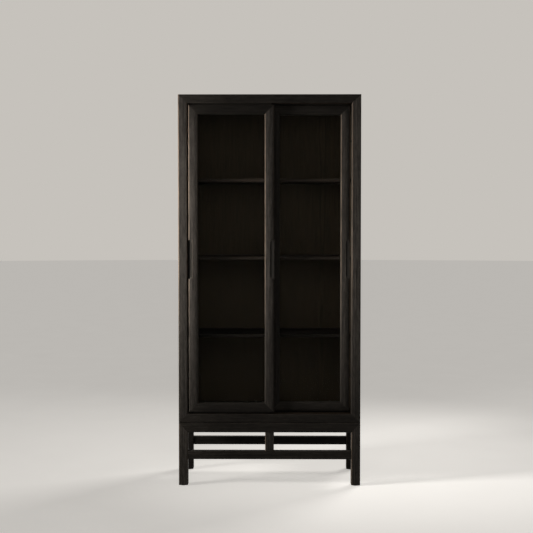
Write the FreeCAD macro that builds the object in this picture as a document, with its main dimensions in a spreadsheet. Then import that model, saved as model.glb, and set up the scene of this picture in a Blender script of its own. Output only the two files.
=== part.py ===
import FreeCAD, Part
import os
import re
import Sketcher

# Tall kitchen cabinet in dark stained oak: a glazed upper case with two sliding doors
# on a low stand. The origin is on the floor under the middle of the cabinet, the front
# faces -Y and every length is in millimetres.
SIZES = {
    # case and stand
    "case_width": 1000,
    "case_depth": 450,
    "case_height": 1800,
    "stand_height": 350,
    "post_width": 50,
    "frame_depth": 50,
    "case_rail_height": 48,
    "leg_width": 50,
    "stand_rail_height": 54,
    "stretcher_height": 46,
    "stretcher_thickness": 40,
    "stretcher_rise": 147,
    "strut_width": 48,
    "edge_radius": 4,
    "foot_chamfer": 2,
    "glide_diameter": 34,
    "glide_thickness": 3,
    # panels, each held by a tongue in the frame
    "side_thickness": 34,
    "top_thickness": 36,
    "top_drop": 4,
    "deck_thickness": 24,
    "tongue_depth": 8,
    "side_tongue": 12,
    "top_tongue": 10,
    "top_tongue_drop": 6,
    "deck_tongue": 8,
    "deck_tongue_rise": 2,
    "back_thickness": 10,
    "back_rebate": 10,
    # shelves and their studs
    "shelf_thickness": 18,
    "shelf_setback": 94,
    "shelf_back_gap": 2,
    "shelf_side_gap": 1,
    "shelf_edge_radius": 2,
    "stud_inset": 38,
    "stud_diameter": 5,
    "stud_seat": 10,
    "stud_head_diameter": 8,
    "stud_reach": 10,
    # two-groove tracks and the runners of the doors
    "track_lip": 6,
    "track_width": 82,
    "lower_track_thickness": 10,
    "upper_track_thickness": 16,
    "groove_width": 9,
    "lower_groove_depth": 6,
    "upper_groove_depth": 14,
    "runner_thickness": 8,
    "runner_seat": 8,
    "runner_chamfer": 1,
    "runner_inset": 14,
    "running_gap": 0.3,
    "lift_room": 7,
    # doors
    "door_recess": 0,
    "door_thickness": 38,
    "door_spacing": 5,
    "door_side_gap": 6,
    "door_edge_gap": 8,
    "door_overlap": 21,
    "door_member_width": 52,
    "door_crown": 3,
    "door_edge_radius": 4,
    "glass_thickness": 4,
    "glass_seat": 16,
    "glass_rebate": 10,
    "glass_gap": 1,
    "bead_depth": 16,
    "bead_slope": 5,
    "bumper_diameter": 10,
    # carved finger pulls
    "pull_height": 215,
    "pull_width": 21,
    "pull_depth": 15,
    "pull_outer_depth": 5,
    "pull_end_radius": 17,
    "pull_cove_radius": 3,
    # fasteners
    "screw_diameter": 4,
    "screw_grip": 18,
    "screw_head_diameter": 9,
    "screw_head_height": 3,
    "bolt_diameter": 8,
    "bolt_clearance": 0.4,
    "bolt_bite": 25,
    "bolt_inset": 60,
    "bolt_head_diameter": 14,
    "bolt_head_height": 8,
    "counterbore_diameter": 17,
    "counterbore_depth": 10,
    # how far a cutting shape runs past the wood
    "overrun": 5,
}

SHELF_COUNT = 3
SCREWS_PER_POST = 4
BUMPER_HEIGHT_SHARES = (0.12, 0.88)
TOLERANCE = 0.001

# Places and lengths that follow from the sizes, written as formulas.
FRONT = "(-case_depth / 2)"
BACK = "(case_depth / 2)"
LEFT = "(-case_width / 2)"
RIGHT = "(case_width / 2)"
INNER_FRONT = f"({FRONT} + frame_depth)"
INNER_DEPTH = "(case_depth - frame_depth * 2)"
HALF_OPENING = "(case_width / 2 - post_width)"
OPENING_WIDTH = f"({HALF_OPENING} * 2)"
CASE_TOP = "(stand_height + case_height)"
SILL = "(stand_height + case_rail_height)"
HEAD = f"({CASE_TOP} - case_rail_height)"
OPENING_HEIGHT = f"({HEAD} - {SILL})"
CEILING = f"({CASE_TOP} - top_drop - top_thickness)"
DECK_BOTTOM = f"({SILL} - deck_thickness)"

STAND_RAIL_BOTTOM = "(stand_height - stand_rail_height)"
STRETCHER_TOP = "(stretcher_rise + stretcher_height)"
STRETCHER_LENGTH = "(case_width - leg_width * 2)"

SIDE_GROOVE_OUTER = "(post_width - side_thickness / 2 - side_tongue / 2)"
SIDE_GROOVE_INNER = f"({SIDE_GROOVE_OUTER} + side_tongue)"
DECK_GROOVE_LOW = "(case_rail_height - deck_thickness + deck_tongue_rise)"
DECK_GROOVE_HIGH = f"({DECK_GROOVE_LOW} + deck_tongue)"
TOP_GROOVE_HIGH = "(top_drop + top_tongue_drop)"
TOP_GROOVE_LOW = f"({TOP_GROOVE_HIGH} + top_tongue)"

SHELF_FRONT = f"({FRONT} + shelf_setback)"
SHELF_DEPTH = "(case_depth - shelf_setback - back_thickness - shelf_back_gap)"
SHELF_LENGTH = f"({OPENING_WIDTH} - shelf_side_gap * 2)"
SHELF_ROOM = f"(({CEILING} - {SILL} - shelf_thickness * {SHELF_COUNT}) / {SHELF_COUNT + 1})"

TRACK_FRONT = f"({FRONT} + track_lip)"
FRONT_GROOVE = "(door_recess + door_thickness / 2 - track_lip)"
REAR_GROOVE = f"({FRONT_GROOVE} + door_thickness + door_spacing)"

DOOR_HEIGHT = f"({OPENING_HEIGHT} - door_edge_gap * 2)"
DOOR_BOTTOM = f"({SILL} + door_edge_gap)"
DOOR_TOP = f"({HEAD} - door_edge_gap)"
FRONT_DOOR_FACE = f"({FRONT} + door_recess)"
REAR_DOOR_FACE = f"({FRONT_DOOR_FACE} + door_thickness + door_spacing)"
LEAF_LEFT_EDGE = f"(-{HALF_OPENING} + door_side_gap)"
LEAF_RIGHT_EDGE = f"({HALF_OPENING} - door_side_gap)"
LEAF_MIDDLE_EDGE = "(door_member_width / 2)"
LEAF_HIDDEN_EDGE = f"({LEAF_MIDDLE_EDGE} - door_overlap)"
GLASS_EDGE = "(door_member_width - glass_rebate)"

UP = FreeCAD.Vector(0, 0, 1)
ACROSS = FreeCAD.Vector(0, 1, 0)
# A member is drawn upright, outer edge at x = 0 and front at y = 0, and turned to lie here.
UPRIGHT = FreeCAD.Rotation()
UPRIGHT_MIRRORED = FreeCAD.Rotation(ACROSS, 180)
LYING_OUTER_DOWN = FreeCAD.Rotation(ACROSS, -90)
LYING_OUTER_UP = FreeCAD.Rotation(ACROSS, 90)
HALF_TURN = FreeCAD.Rotation(UP, 180)
FRONT_TO_BACK = FreeCAD.Rotation(FreeCAD.Vector(1, 0, 0), -90)
BACK_TO_FRONT = HALF_TURN.multiply(FRONT_TO_BACK)
# A profile drawn with x as depth and y as height, run along the width.
ALONG_WIDTH = FreeCAD.Rotation(FreeCAD.Vector(1, 1, 1), 120)
FACING_RIGHT = FreeCAD.Rotation(ACROSS, 90)
FACING_FRONT = FreeCAD.Rotation(FreeCAD.Vector(1, 0, 0), 90)

doc = FreeCAD.newDocument("KitchenCabinet")
sheet = doc.addObject("Spreadsheet::Sheet", "Sizes")
parts = []


def fill_sheet():
    """Write each driving size beside its name and give its cell that name."""
    for row, (name, size) in enumerate(SIZES.items(), 1):
        sheet.set(f"A{row}", name)
        sheet.set(f"B{row}", str(size))
        sheet.setAlias(f"B{row}", name)
    doc.recompute()


def bound(formula):
    """The formula with every size name pointing at its cell."""
    return re.sub(r"[a-z][a-z_]+", lambda name: "Sizes." + name.group(), formula)


def number(formula):
    """What the formula comes to with the sizes as they are."""
    return float(sheet.evalExpression(bound(formula)))


def place(thing, x, y, z, rotation=UPRIGHT):
    """Turn the thing and tie its place to the sizes."""
    thing.Placement = FreeCAD.Placement(FreeCAD.Vector(), rotation)
    for axis, formula in (("x", x), ("y", y), ("z", z)):
        thing.setExpression("Placement.Base." + axis, bound(formula))


def new_body(label):
    body = doc.addObject("PartDesign::Body", label)
    body.Label = label
    return body


def keep(part):
    """List a finished sub-part for writing."""
    parts.append(part)
    return part


def flat_sketch(body, name, role, lift="0"):
    """An empty sketch on one of the body's own planes, lifted along the plane's normal."""
    sketch = body.newObject("Sketcher::SketchObject", name)
    plane = next(feature for feature in body.Origin.OriginFeatures if feature.Role == role)
    sketch.AttachmentSupport = [(plane, "")]
    sketch.MapMode = "FlatFace"
    if lift != "0":
        sketch.setExpression("AttachmentOffset.Base.z", bound(lift))
    return sketch


def pin_point(sketch, geometry, point, x, y):
    """Hold one point of a sketch at two formulas, measured from the origin."""
    for kind, formula, axis in (("DistanceX", x, -2), ("DistanceY", y, -1)):
        if formula == "0":
            sketch.addConstraint(Sketcher.Constraint("PointOnObject", geometry, point, axis))
            continue
        distance = number(formula)
        constraint = Sketcher.Constraint(kind, -1, 1, geometry, point, distance)
        index = sketch.addConstraint(constraint)
        label = f"{kind}{geometry}"
        sketch.renameConstraint(index, label)
        sketch.setExpression("Constraints." + label, bound(formula))


def draw_outline(sketch, points, crown=""):
    """Draw a closed outline. With a crown its first side is an arc that swells forward."""
    spots = [FreeCAD.Vector(number(x), number(y), 0) for x, y in points]
    count = len(spots)
    for start in range(count):
        end = (start + 1) % count
        side = Part.LineSegment(spots[start], spots[end])
        if crown and start == 0:
            crest = (spots[start] + spots[end]) / 2 - ACROSS * number(crown)
            side = Part.Arc(spots[start], crest, spots[end])
        sketch.addGeometry(side, False)
    for start in range(count):
        sketch.addConstraint(Sketcher.Constraint("Coincident", start, 2, (start + 1) % count, 1))
    for index, (x, y) in enumerate(points):
        pin_point(sketch, index, 1, x, y)


def hold_crown(sketch, width, crown):
    """Set the radius of the crown from its width and its rise."""
    radius = f"({width} * {width} / 4 + {crown} * {crown}) / ({crown} * 2)"
    index = sketch.addConstraint(Sketcher.Constraint("Radius", 0, number(radius)))
    sketch.renameConstraint(index, "CrownRadius")
    sketch.setExpression("Constraints.CrownRadius", bound(radius))


def extrude(body, sketch, length):
    pad = body.newObject("PartDesign::Pad", sketch.Name + "Pad")
    pad.Profile = sketch
    pad.setExpression("Length", bound(length))
    doc.recompute()
    return pad


def cut(body, sketch, length="", reverse=False):
    """Pocket the sketch to a depth, or right through, and make sure that wood is removed."""
    before = body.Tip.Shape.Volume
    pocket = body.newObject("PartDesign::Pocket", sketch.Name + "Pocket")
    pocket.Profile = sketch
    pocket.Reversed = reverse
    if length:
        pocket.setExpression("Length", bound(length))
    else:
        pocket.Type = "ThroughAll"
    doc.recompute()
    if pocket.Shape.Volume >= before:
        raise RuntimeError(body.Label + ": a cut removed nothing")
    return pocket


def block(body, name, kind, corner, size):
    """Add a block to the body or take one away; corner and size are three formulas each."""
    solid = body.newObject(f"PartDesign::{kind}Box", name)
    for key, formula in zip(("Length", "Width", "Height"), size):
        solid.setExpression(key, bound(formula))
    for axis, formula in zip("xyz", corner):
        solid.setExpression("Placement.Base." + axis, bound(formula))
    doc.recompute()
    return solid


def edges_over(shape, corners):
    """Names of the lengthwise edges that stand over the given corners."""
    names = []
    spots = [(number(x), number(y)) for x, y in corners]
    for index, edge in enumerate(shape.Edges, 1):
        box = edge.BoundBox
        if box.XLength > TOLERANCE or box.YLength > TOLERANCE:
            continue
        for x, y in spots:
            if abs(box.XMin - x) < TOLERANCE and abs(box.YMin - y) < TOLERANCE:
                names.append(f"Edge{index}")
    return names


def round_edges(body, name, edges, radius):
    base = body.Tip
    fillet = body.newObject("PartDesign::Fillet", name)
    fillet.Base = (base, edges)
    fillet.setExpression("Radius", bound(radius))
    doc.recompute()
    return fillet


def mitre(body, name, width, rise, length=""):
    """Cut one end along the line from its outer corner to its inner one."""
    sketch = flat_sketch(body, name, "XZ_Plane")
    past = f"(overrun * {rise} / {width})"
    end = length or "0"
    sign = "-" if length else "+"
    flip = "+" if length else "-"
    draw_outline(sketch, [
        ("(-overrun)", f"({end} {flip} {past})"),
        (f"({width} + overrun)", f"({end} {sign} {rise} {sign} {past})"),
        (f"({width} + overrun)", f"({end} {flip} {past})"),
    ])
    return cut(body, sketch)


def member(label, points, length, eased=(), radius="edge_radius", mitres=(), crown=""):
    """A length of wood: its profile is padded, its long edges eased, its ends mitred.

    Each mitre is (name, width, rise, end), where end is empty for the low end.
    """
    body = new_body(label)
    profile = flat_sketch(body, label + "_profile", "XY_Plane")
    draw_outline(profile, points, crown)
    if crown:
        hold_crown(profile, points[1][0], crown)
    extrude(body, profile, length)
    if eased:
        round_edges(body, label + "_eased", edges_over(body.Tip.Shape, eased), radius)
    for name, width, rise, end in mitres:
        mitre(body, f"{label}_{name}", width, rise, end)
    return body


def both_mitres(width, rise, length):
    return (("low_mitre", width, rise, ""), ("high_mitre", width, rise, length))


def rectangle(width, depth):
    return [("0", "0"), (width, "0"), (width, depth), ("0", depth)]


def drill(body, name, places, diameter, depth="", face="0", reverse=False):
    """Drill a row of holes; places are (x, z) formulas on the face at that depth."""
    sketch = flat_sketch(body, name, "XZ_Plane", f"(-{face})" if face != "0" else "0")
    for index, (x, z) in enumerate(places):
        centre = FreeCAD.Vector(number(x), number(z), 0)
        sketch.addGeometry(Part.Circle(centre, UP, number(diameter) / 2), False)
        pin_point(sketch, index, 3, x, z)
        constraint = sketch.addConstraint(Sketcher.Constraint("Diameter", index, number(diameter)))
        sketch.renameConstraint(constraint, f"Bore{index}")
        sketch.setExpression(f"Constraints.Bore{index}", bound(diameter))
    return cut(body, sketch, depth, reverse)


def rod(name, diameter, length, x, y, z, rotation):
    solid = doc.addObject("Part::Cylinder", name)
    solid.setExpression("Radius", bound(f"{diameter} / 2"))
    solid.setExpression("Height", bound(length))
    place(solid, x, y, z, rotation)
    return solid


def joined(name, solids):
    fusion = doc.addObject("Part::MultiFuse", name)
    fusion.Shapes = solids
    return fusion


def group(label, solids):
    """Identical small pieces kept together as one sub-part of separate solids."""
    compound = doc.addObject("Part::Compound", label)
    compound.Label = label
    compound.Links = solids
    return keep(compound)


def make_legs():
    """Four square legs whose tops are mitred into the front and rear rails of the stand."""
    length = "(stand_height - glide_thickness)"
    square = rectangle("leg_width", "leg_width")
    for row, y in (("front", FRONT), ("rear", f"({BACK} - leg_width)")):
        for side in ("left", "right"):
            high = (("high_mitre", "leg_width", "stand_rail_height", length),)
            leg = member(f"leg_{row}_{side}", square, length, eased=square, mitres=high)
            chamfer_foot(leg, f"foot_{row}_{side}")
            if side == "left":
                place(leg, LEFT, y, "glide_thickness")
            else:
                place(leg, RIGHT, f"({y} + leg_width)", "glide_thickness", HALF_TURN)
            keep(leg)


def chamfer_foot(leg, name):
    base = leg.Tip
    foot = next(f"Face{index}" for index, face in enumerate(base.Shape.Faces, 1)
                if face.BoundBox.ZMax < TOLERANCE)
    chamfer = leg.newObject("PartDesign::Chamfer", name)
    chamfer.Base = (base, [foot])
    chamfer.setExpression("Size", bound("foot_chamfer"))


def make_stand_rails():
    """Top frame of the stand: two mitred long rails and two short ones that butt the legs."""
    face = rectangle("stand_rail_height", "leg_width")
    ends = both_mitres("stand_rail_height", "leg_width", "case_width")
    for row, y in (("front", FRONT), ("rear", f"({BACK} - leg_width)")):
        rail = member(f"stand_{row}_rail", face, "case_width", eased=face, mitres=ends)
        place(rail, LEFT, y, "stand_height", LYING_OUTER_UP)
        keep(rail)
    length = "(case_depth - leg_width * 2)"
    section = rectangle("leg_width", "stand_rail_height")
    holes = [("leg_width / 2", place) for place in ("bolt_inset", f"({length} - bolt_inset)")]
    for side, x, y, rotation in (
        ("left", LEFT, f"({FRONT} + leg_width)", FRONT_TO_BACK),
        ("right", RIGHT, f"({BACK} - leg_width)", BACK_TO_FRONT),
    ):
        rail = member(f"stand_{side}_rail", section, length, eased=section)
        drill(rail, f"bolt_holes_{side}", holes, "(bolt_diameter + bolt_clearance)")
        drill(rail, f"counterbores_{side}", holes, "counterbore_diameter",
              "counterbore_depth", "stand_rail_height", True)
        place(rail, x, y, "stand_height", rotation)
        keep(rail)


def make_stretchers():
    """Low stretchers at front and rear, each with one strut up to the rail over it."""
    section = rectangle("stretcher_height", "stretcher_thickness")
    strut_section = rectangle("strut_width", "stretcher_thickness")
    rise = f"({STAND_RAIL_BOTTOM} - {STRETCHER_TOP})"
    for row, y in (("front", FRONT), ("rear", f"({BACK} - stretcher_thickness)")):
        stretcher = member(f"{row}_stretcher", section, STRETCHER_LENGTH, eased=section)
        place(stretcher, f"({LEFT} + leg_width)", y, STRETCHER_TOP, LYING_OUTER_UP)
        keep(stretcher)
        strut = member(f"{row}_strut", strut_section, rise, eased=strut_section)
        place(strut, "(-strut_width / 2)", y, STRETCHER_TOP)
        keep(strut)


def make_glides():
    glides = []
    for row, y in (("front", f"({FRONT} + leg_width / 2)"), ("rear", f"({BACK} - leg_width / 2)")):
        for side, x in (("left", f"({LEFT} + leg_width / 2)"), ("right", f"({RIGHT} - leg_width / 2)")):
            glides.append(rod(f"glide_{row}_{side}", "glide_diameter", "glide_thickness",
                              x, y, "0", UPRIGHT))
    group("foot_glides", glides)


def make_front_posts():
    """Front posts: eased and mitred, with a groove at the back for the side panel."""
    section = [
        ("0", "0"), ("post_width", "0"), ("post_width", "frame_depth"),
        (SIDE_GROOVE_INNER, "frame_depth"),
        (SIDE_GROOVE_INNER, "(frame_depth - tongue_depth)"),
        (SIDE_GROOVE_OUTER, "(frame_depth - tongue_depth)"),
        (SIDE_GROOVE_OUTER, "frame_depth"), ("0", "frame_depth"),
    ]
    eased = [("0", "0"), ("post_width", "0"), ("0", "frame_depth")]
    ends = both_mitres("post_width", "case_rail_height", "case_height")
    for side, x, z, rotation in (
        ("left", LEFT, "stand_height", UPRIGHT),
        ("right", RIGHT, CASE_TOP, UPRIGHT_MIRRORED),
    ):
        post = member(f"case_post_front_{side}", section, "case_height", eased, mitres=ends)
        place(post, x, FRONT, z, rotation)
        keep(post)


def make_rear_posts():
    """Rear posts: grooved for the side panel, rebated and drilled for the back panel."""
    section = [
        ("0", "0"), (SIDE_GROOVE_OUTER, "0"), (SIDE_GROOVE_OUTER, "tongue_depth"),
        (SIDE_GROOVE_INNER, "tongue_depth"), (SIDE_GROOVE_INNER, "0"), ("post_width", "0"),
        ("post_width", "(frame_depth - back_thickness)"),
        ("(post_width - back_rebate)", "(frame_depth - back_thickness)"),
        ("(post_width - back_rebate)", "frame_depth"), ("0", "frame_depth"),
    ]
    eased = [("0", "0"), ("0", "frame_depth")]
    ends = both_mitres("post_width", "case_rail_height", "case_height")
    spots = [("(post_width - back_rebate / 2)", f"(case_rail_height + {rise})")
             for rise in screw_rises()]
    for side, x, z, rotation in (
        ("left", LEFT, "stand_height", UPRIGHT),
        ("right", RIGHT, CASE_TOP, UPRIGHT_MIRRORED),
    ):
        post = member(f"case_post_rear_{side}", section, "case_height", eased, mitres=ends)
        drill(post, f"post_pilots_{side}", spots, "screw_diameter", "screw_grip",
              "(frame_depth - back_thickness)", True)
        place(post, x, f"({BACK} - frame_depth)", z, rotation)
        keep(post)


def screw_rises():
    """Heights of the back panel's screws over the sill, evenly spread."""
    return [f"({OPENING_HEIGHT} * {2 * step + 1} / {2 * SCREWS_PER_POST})"
            for step in range(SCREWS_PER_POST)]


def rail_screw_places():
    """Where the back panel's screws stand along a rear rail, from its end."""
    return [f"(case_width / 2 {sign} {HALF_OPENING} / 2)" for sign in ("-", "+")]


def make_front_rails():
    """Front rails: mitred, rebated behind a lip for a track and grooved for a panel."""
    ends = both_mitres("case_rail_height", "post_width", "case_width")
    eased = [("0", "0"), ("case_rail_height", "0"), ("0", "frame_depth")]
    for level, track, near, far, x, z, rotation in (
        ("bottom", "lower_track_thickness", DECK_GROOVE_HIGH, DECK_GROOVE_LOW,
         RIGHT, "stand_height", LYING_OUTER_DOWN),
        ("top", "upper_track_thickness", TOP_GROOVE_LOW, TOP_GROOVE_HIGH,
         LEFT, CASE_TOP, LYING_OUTER_UP),
    ):
        section = [
            ("0", "0"), ("case_rail_height", "0"), ("case_rail_height", "track_lip"),
            (f"(case_rail_height - {track})", "track_lip"),
            (f"(case_rail_height - {track})", "frame_depth"),
            (near, "frame_depth"), (near, "(frame_depth - tongue_depth)"),
            (far, "(frame_depth - tongue_depth)"), (far, "frame_depth"), ("0", "frame_depth"),
        ]
        rail = member(f"case_front_{level}_rail", section, "case_width", eased, mitres=ends)
        place(rail, x, FRONT, z, rotation)
        keep(rail)


def make_rear_rails():
    """Rear rails: mitred, grooved for a panel, rebated and drilled for the back panel."""
    ends = both_mitres("case_rail_height", "post_width", "case_width")
    eased = [("0", "0"), ("0", "frame_depth")]
    spots = [("(case_rail_height - back_rebate / 2)", place) for place in rail_screw_places()]
    for level, low, high, x, z, rotation in (
        ("bottom", DECK_GROOVE_LOW, DECK_GROOVE_HIGH, RIGHT, "stand_height", LYING_OUTER_DOWN),
        ("top", TOP_GROOVE_HIGH, TOP_GROOVE_LOW, LEFT, CASE_TOP, LYING_OUTER_UP),
    ):
        section = [
            ("0", "0"), (low, "0"), (low, "tongue_depth"), (high, "tongue_depth"), (high, "0"),
            ("case_rail_height", "0"), ("case_rail_height", "(frame_depth - back_thickness)"),
            ("(case_rail_height - back_rebate)", "(frame_depth - back_thickness)"),
            ("(case_rail_height - back_rebate)", "frame_depth"), ("0", "frame_depth"),
        ]
        rail = member(f"case_rear_{level}_rail", section, "case_width", eased, mitres=ends)
        drill(rail, f"rail_pilots_{level}", spots, "screw_diameter", "screw_grip",
              "(frame_depth - back_thickness)", True)
        place(rail, x, f"({BACK} - frame_depth)", z, rotation)
        keep(rail)


def side_rail_section(level):
    """Profile of a side rail, grooved for the side panel and for the deck or the top."""
    outer, inner = SIDE_GROOVE_OUTER, SIDE_GROOVE_INNER
    seat = "(post_width - tongue_depth)"
    if level == "bottom":
        high = f"(case_rail_height - {DECK_GROOVE_HIGH})"
        low = f"(case_rail_height - {DECK_GROOVE_LOW})"
        return [
            ("0", "0"), (outer, "0"), (outer, "tongue_depth"), (inner, "tongue_depth"),
            (inner, "0"), ("post_width", "0"), ("post_width", high), (seat, high), (seat, low),
            ("post_width", low), ("post_width", "case_rail_height"), ("0", "case_rail_height"),
        ]
    floor = "(case_rail_height - tongue_depth)"
    return [
        ("0", "0"), ("post_width", "0"), ("post_width", TOP_GROOVE_HIGH),
        (seat, TOP_GROOVE_HIGH), (seat, TOP_GROOVE_LOW), ("post_width", TOP_GROOVE_LOW),
        ("post_width", "case_rail_height"), (inner, "case_rail_height"), (inner, floor),
        (outer, floor), (outer, "case_rail_height"), ("0", "case_rail_height"),
    ]


def make_side_rails():
    """Short rails of the case, between the front and rear frames."""
    eased = [("0", "0"), ("0", "case_rail_height")]
    holes = [("post_width / 2", place) for place in ("bolt_inset", f"({INNER_DEPTH} - bolt_inset)")]
    for level, z in (("bottom", SILL), ("top", CASE_TOP)):
        for side, x, y, rotation in (
            ("left", LEFT, INNER_FRONT, FRONT_TO_BACK),
            ("right", RIGHT, f"({BACK} - frame_depth)", BACK_TO_FRONT),
        ):
            rail = member(f"case_{side}_{level}_rail", side_rail_section(level),
                          INNER_DEPTH, eased)
            if level == "bottom":
                drill(rail, f"bolt_seats_{side}", holes, "bolt_diameter", "bolt_bite",
                      "case_rail_height", True)
            place(rail, x, y, z, rotation)
            keep(rail)


def shelf_bottom(step):
    """Height of the underside of shelf number step, counted from the deck."""
    return f"({SILL} + {SHELF_ROOM} * {step} + shelf_thickness * {step - 1})"


def stud_depths():
    """How far behind the front frame the shelf studs stand."""
    return [f"({SHELF_FRONT} + stud_inset - {INNER_FRONT})", f"({INNER_DEPTH} - stud_inset)"]


def make_side_panels():
    """Side panels, flush inside, with a tongue all round and holes for the shelf studs."""
    thickness = "side_thickness"
    for side, x, y, rotation in (
        ("left", f"(-{HALF_OPENING})", INNER_FRONT, UPRIGHT),
        ("right", HALF_OPENING, f"({BACK} - frame_depth)", HALF_TURN),
    ):
        panel = new_body(f"side_panel_{side}")
        block(panel, f"board_{side}", "Additive", ("(-side_thickness)", "0", "0"),
              (thickness, INNER_DEPTH, OPENING_HEIGHT))
        block(panel, f"tongue_{side}", "Additive",
              ("(-side_thickness / 2 - side_tongue / 2)", "(-tongue_depth)", "(-tongue_depth)"),
              ("side_tongue", f"({INNER_DEPTH} + tongue_depth * 2)",
               f"({OPENING_HEIGHT} + tongue_depth * 2)"))
        drill_stud_holes(panel, side)
        place(panel, x, y, SILL, rotation)
        keep(panel)


def drill_stud_holes(panel, side):
    sketch = flat_sketch(panel, f"stud_holes_{side}", "YZ_Plane")
    index = 0
    for step in range(1, SHELF_COUNT + 1):
        height = f"({shelf_bottom(step)} - stud_head_diameter / 2 - {SILL})"
        for depth in stud_depths():
            across = depth if side == "left" else f"({INNER_DEPTH} - {depth})"
            centre = FreeCAD.Vector(number(across), number(height), 0)
            sketch.addGeometry(Part.Circle(centre, UP, number("stud_diameter") / 2), False)
            pin_point(sketch, index, 3, across, height)
            bore = Sketcher.Constraint("Diameter", index, number("stud_diameter"))
            sketch.renameConstraint(sketch.addConstraint(bore), f"Bore{index}")
            sketch.setExpression(f"Constraints.Bore{index}", bound("stud_diameter"))
            index += 1
    cut(panel, sketch, "stud_seat")


def make_level_panel(label, thickness, tongue, tongue_rise, track_rise, track_cut, bottom):
    """A level panel inside the frame: board, tongue all round and a seat for a track."""
    panel = new_body(label)
    block(panel, label + "_board", "Additive", ("0", "0", "0"),
          (OPENING_WIDTH, INNER_DEPTH, thickness))
    block(panel, label + "_tongue", "Additive",
          ("(-tongue_depth)", "(-tongue_depth)", tongue_rise),
          (f"({OPENING_WIDTH} + tongue_depth * 2)", f"({INNER_DEPTH} + tongue_depth * 2)", tongue))
    block(panel, label + "_track_seat", "Subtractive", ("0", "0", track_rise),
          (OPENING_WIDTH, "(track_lip + track_width - frame_depth)", track_cut))
    place(panel, f"(-{HALF_OPENING})", INNER_FRONT, bottom)
    return keep(panel)


def make_deck_and_top():
    make_level_panel("case_deck", "deck_thickness", "deck_tongue", "deck_tongue_rise",
                     "(deck_thickness - lower_track_thickness)", "lower_track_thickness",
                     DECK_BOTTOM)
    make_level_panel("case_top_panel", "top_thickness", "top_tongue",
                     "(top_thickness - top_tongue_drop - top_tongue)", "0",
                     f"(upper_track_thickness - {CEILING} + {HEAD})", CEILING)


def make_back_panel():
    """Back panel in the rebate of the rear frame, counterbored for its screws."""
    panel = new_body("back_panel")
    block(panel, "back_board", "Additive", ("0", "0", "0"),
          (f"({OPENING_WIDTH} + back_rebate * 2)", "back_thickness",
           f"({OPENING_HEIGHT} + back_rebate * 2)"))
    spots = [(f"({x} + {HALF_OPENING} + back_rebate)", f"({z} - {SILL} + back_rebate)")
             for x, z in back_screw_places()]
    drill(panel, "back_holes", spots, "screw_diameter", "", "back_thickness", True)
    drill(panel, "back_counterbores", spots, "screw_head_diameter", "screw_head_height",
          "back_thickness", True)
    place(panel, f"(-{HALF_OPENING} - back_rebate)", f"({BACK} - back_thickness)",
          f"({SILL} - back_rebate)")
    keep(panel)


def back_screw_places():
    """Centres of the back panel's screws, (x, z) in the cabinet's frame."""
    edge = f"({HALF_OPENING} + back_rebate / 2)"
    spots = [(f"({sign}{edge})", f"({SILL} + {rise})")
             for sign in ("-", "+") for rise in screw_rises()]
    for along in rail_screw_places():
        spots.append((f"({along} - case_width / 2)", f"({SILL} - back_rebate / 2)"))
        spots.append((f"({along} - case_width / 2)", f"({HEAD} + back_rebate / 2)"))
    return spots


def make_back_screws():
    screws = []
    for index, (x, z) in enumerate(back_screw_places()):
        head = rod(f"screw_head_{index}", "screw_head_diameter", "screw_head_height",
                   x, BACK, z, FACING_FRONT)
        length = "(back_thickness - screw_head_height + screw_grip)"
        shank = rod(f"screw_shank_{index}", "screw_diameter", length,
                    x, f"({BACK} - screw_head_height)", z, FACING_FRONT)
        screws.append(joined(f"back_screw_{index}", [head, shank]))
    group("back_panel_screws", screws)


def make_stand_bolts():
    """Bolts up through the side rails of the stand into the case."""
    bolts = []
    seat = f"({STAND_RAIL_BOTTOM} + counterbore_depth)"
    for side, x in (("left", f"({LEFT} + leg_width / 2)"), ("right", f"({RIGHT} - leg_width / 2)")):
        for row, y in (("front", f"({FRONT} + leg_width + bolt_inset)"),
                       ("rear", f"({BACK} - leg_width - bolt_inset)")):
            head = rod(f"bolt_head_{side}_{row}", "bolt_head_diameter", "bolt_head_height",
                       x, y, f"({seat} - bolt_head_height)", UPRIGHT)
            length = "(stand_rail_height - counterbore_depth + bolt_bite)"
            shank = rod(f"bolt_shank_{side}_{row}", "bolt_diameter", length, x, y, seat, UPRIGHT)
            bolts.append(joined(f"stand_bolt_{side}_{row}", [head, shank]))
    group("case_to_stand_bolts", bolts)


def make_shelves():
    """Three full-width shelves on metal studs."""
    section = rectangle(SHELF_DEPTH, "shelf_thickness")
    eased = [("0", "0"), ("0", "shelf_thickness")]
    for step, name in enumerate(("lower", "middle", "upper"), 1):
        shelf = member(f"{name}_shelf", section, SHELF_LENGTH, eased, "shelf_edge_radius")
        place(shelf, f"(-{HALF_OPENING} + shelf_side_gap)", SHELF_FRONT, shelf_bottom(step),
              ALONG_WIDTH)
        keep(shelf)


def make_shelf_studs():
    studs = []
    for step in range(1, SHELF_COUNT + 1):
        z = f"({shelf_bottom(step)} - stud_head_diameter / 2)"
        for depth in stud_depths():
            y = f"({INNER_FRONT} + {depth})"
            for side, seat_x, head_x in (
                ("left", f"(-{HALF_OPENING} - stud_seat)", f"(-{HALF_OPENING})"),
                ("right", HALF_OPENING, f"({HALF_OPENING} - stud_reach)"),
            ):
                name = f"stud_{side}_{len(studs)}"
                peg = rod(name + "_peg", "stud_diameter", "stud_seat", seat_x, y, z, FACING_RIGHT)
                head = rod(name + "_head", "stud_head_diameter", "stud_reach",
                           head_x, y, z, FACING_RIGHT)
                studs.append(joined(name, [peg, head]))
    group("shelf_studs", studs)


def groove_points(centre, open_face, floor):
    """Four corners of a track groove, from its far edge back to its near edge."""
    near = f"({centre} - groove_width / 2)"
    far = f"({centre} + groove_width / 2)"
    return [(far, open_face), (far, floor), (near, floor), (near, open_face)]


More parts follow.
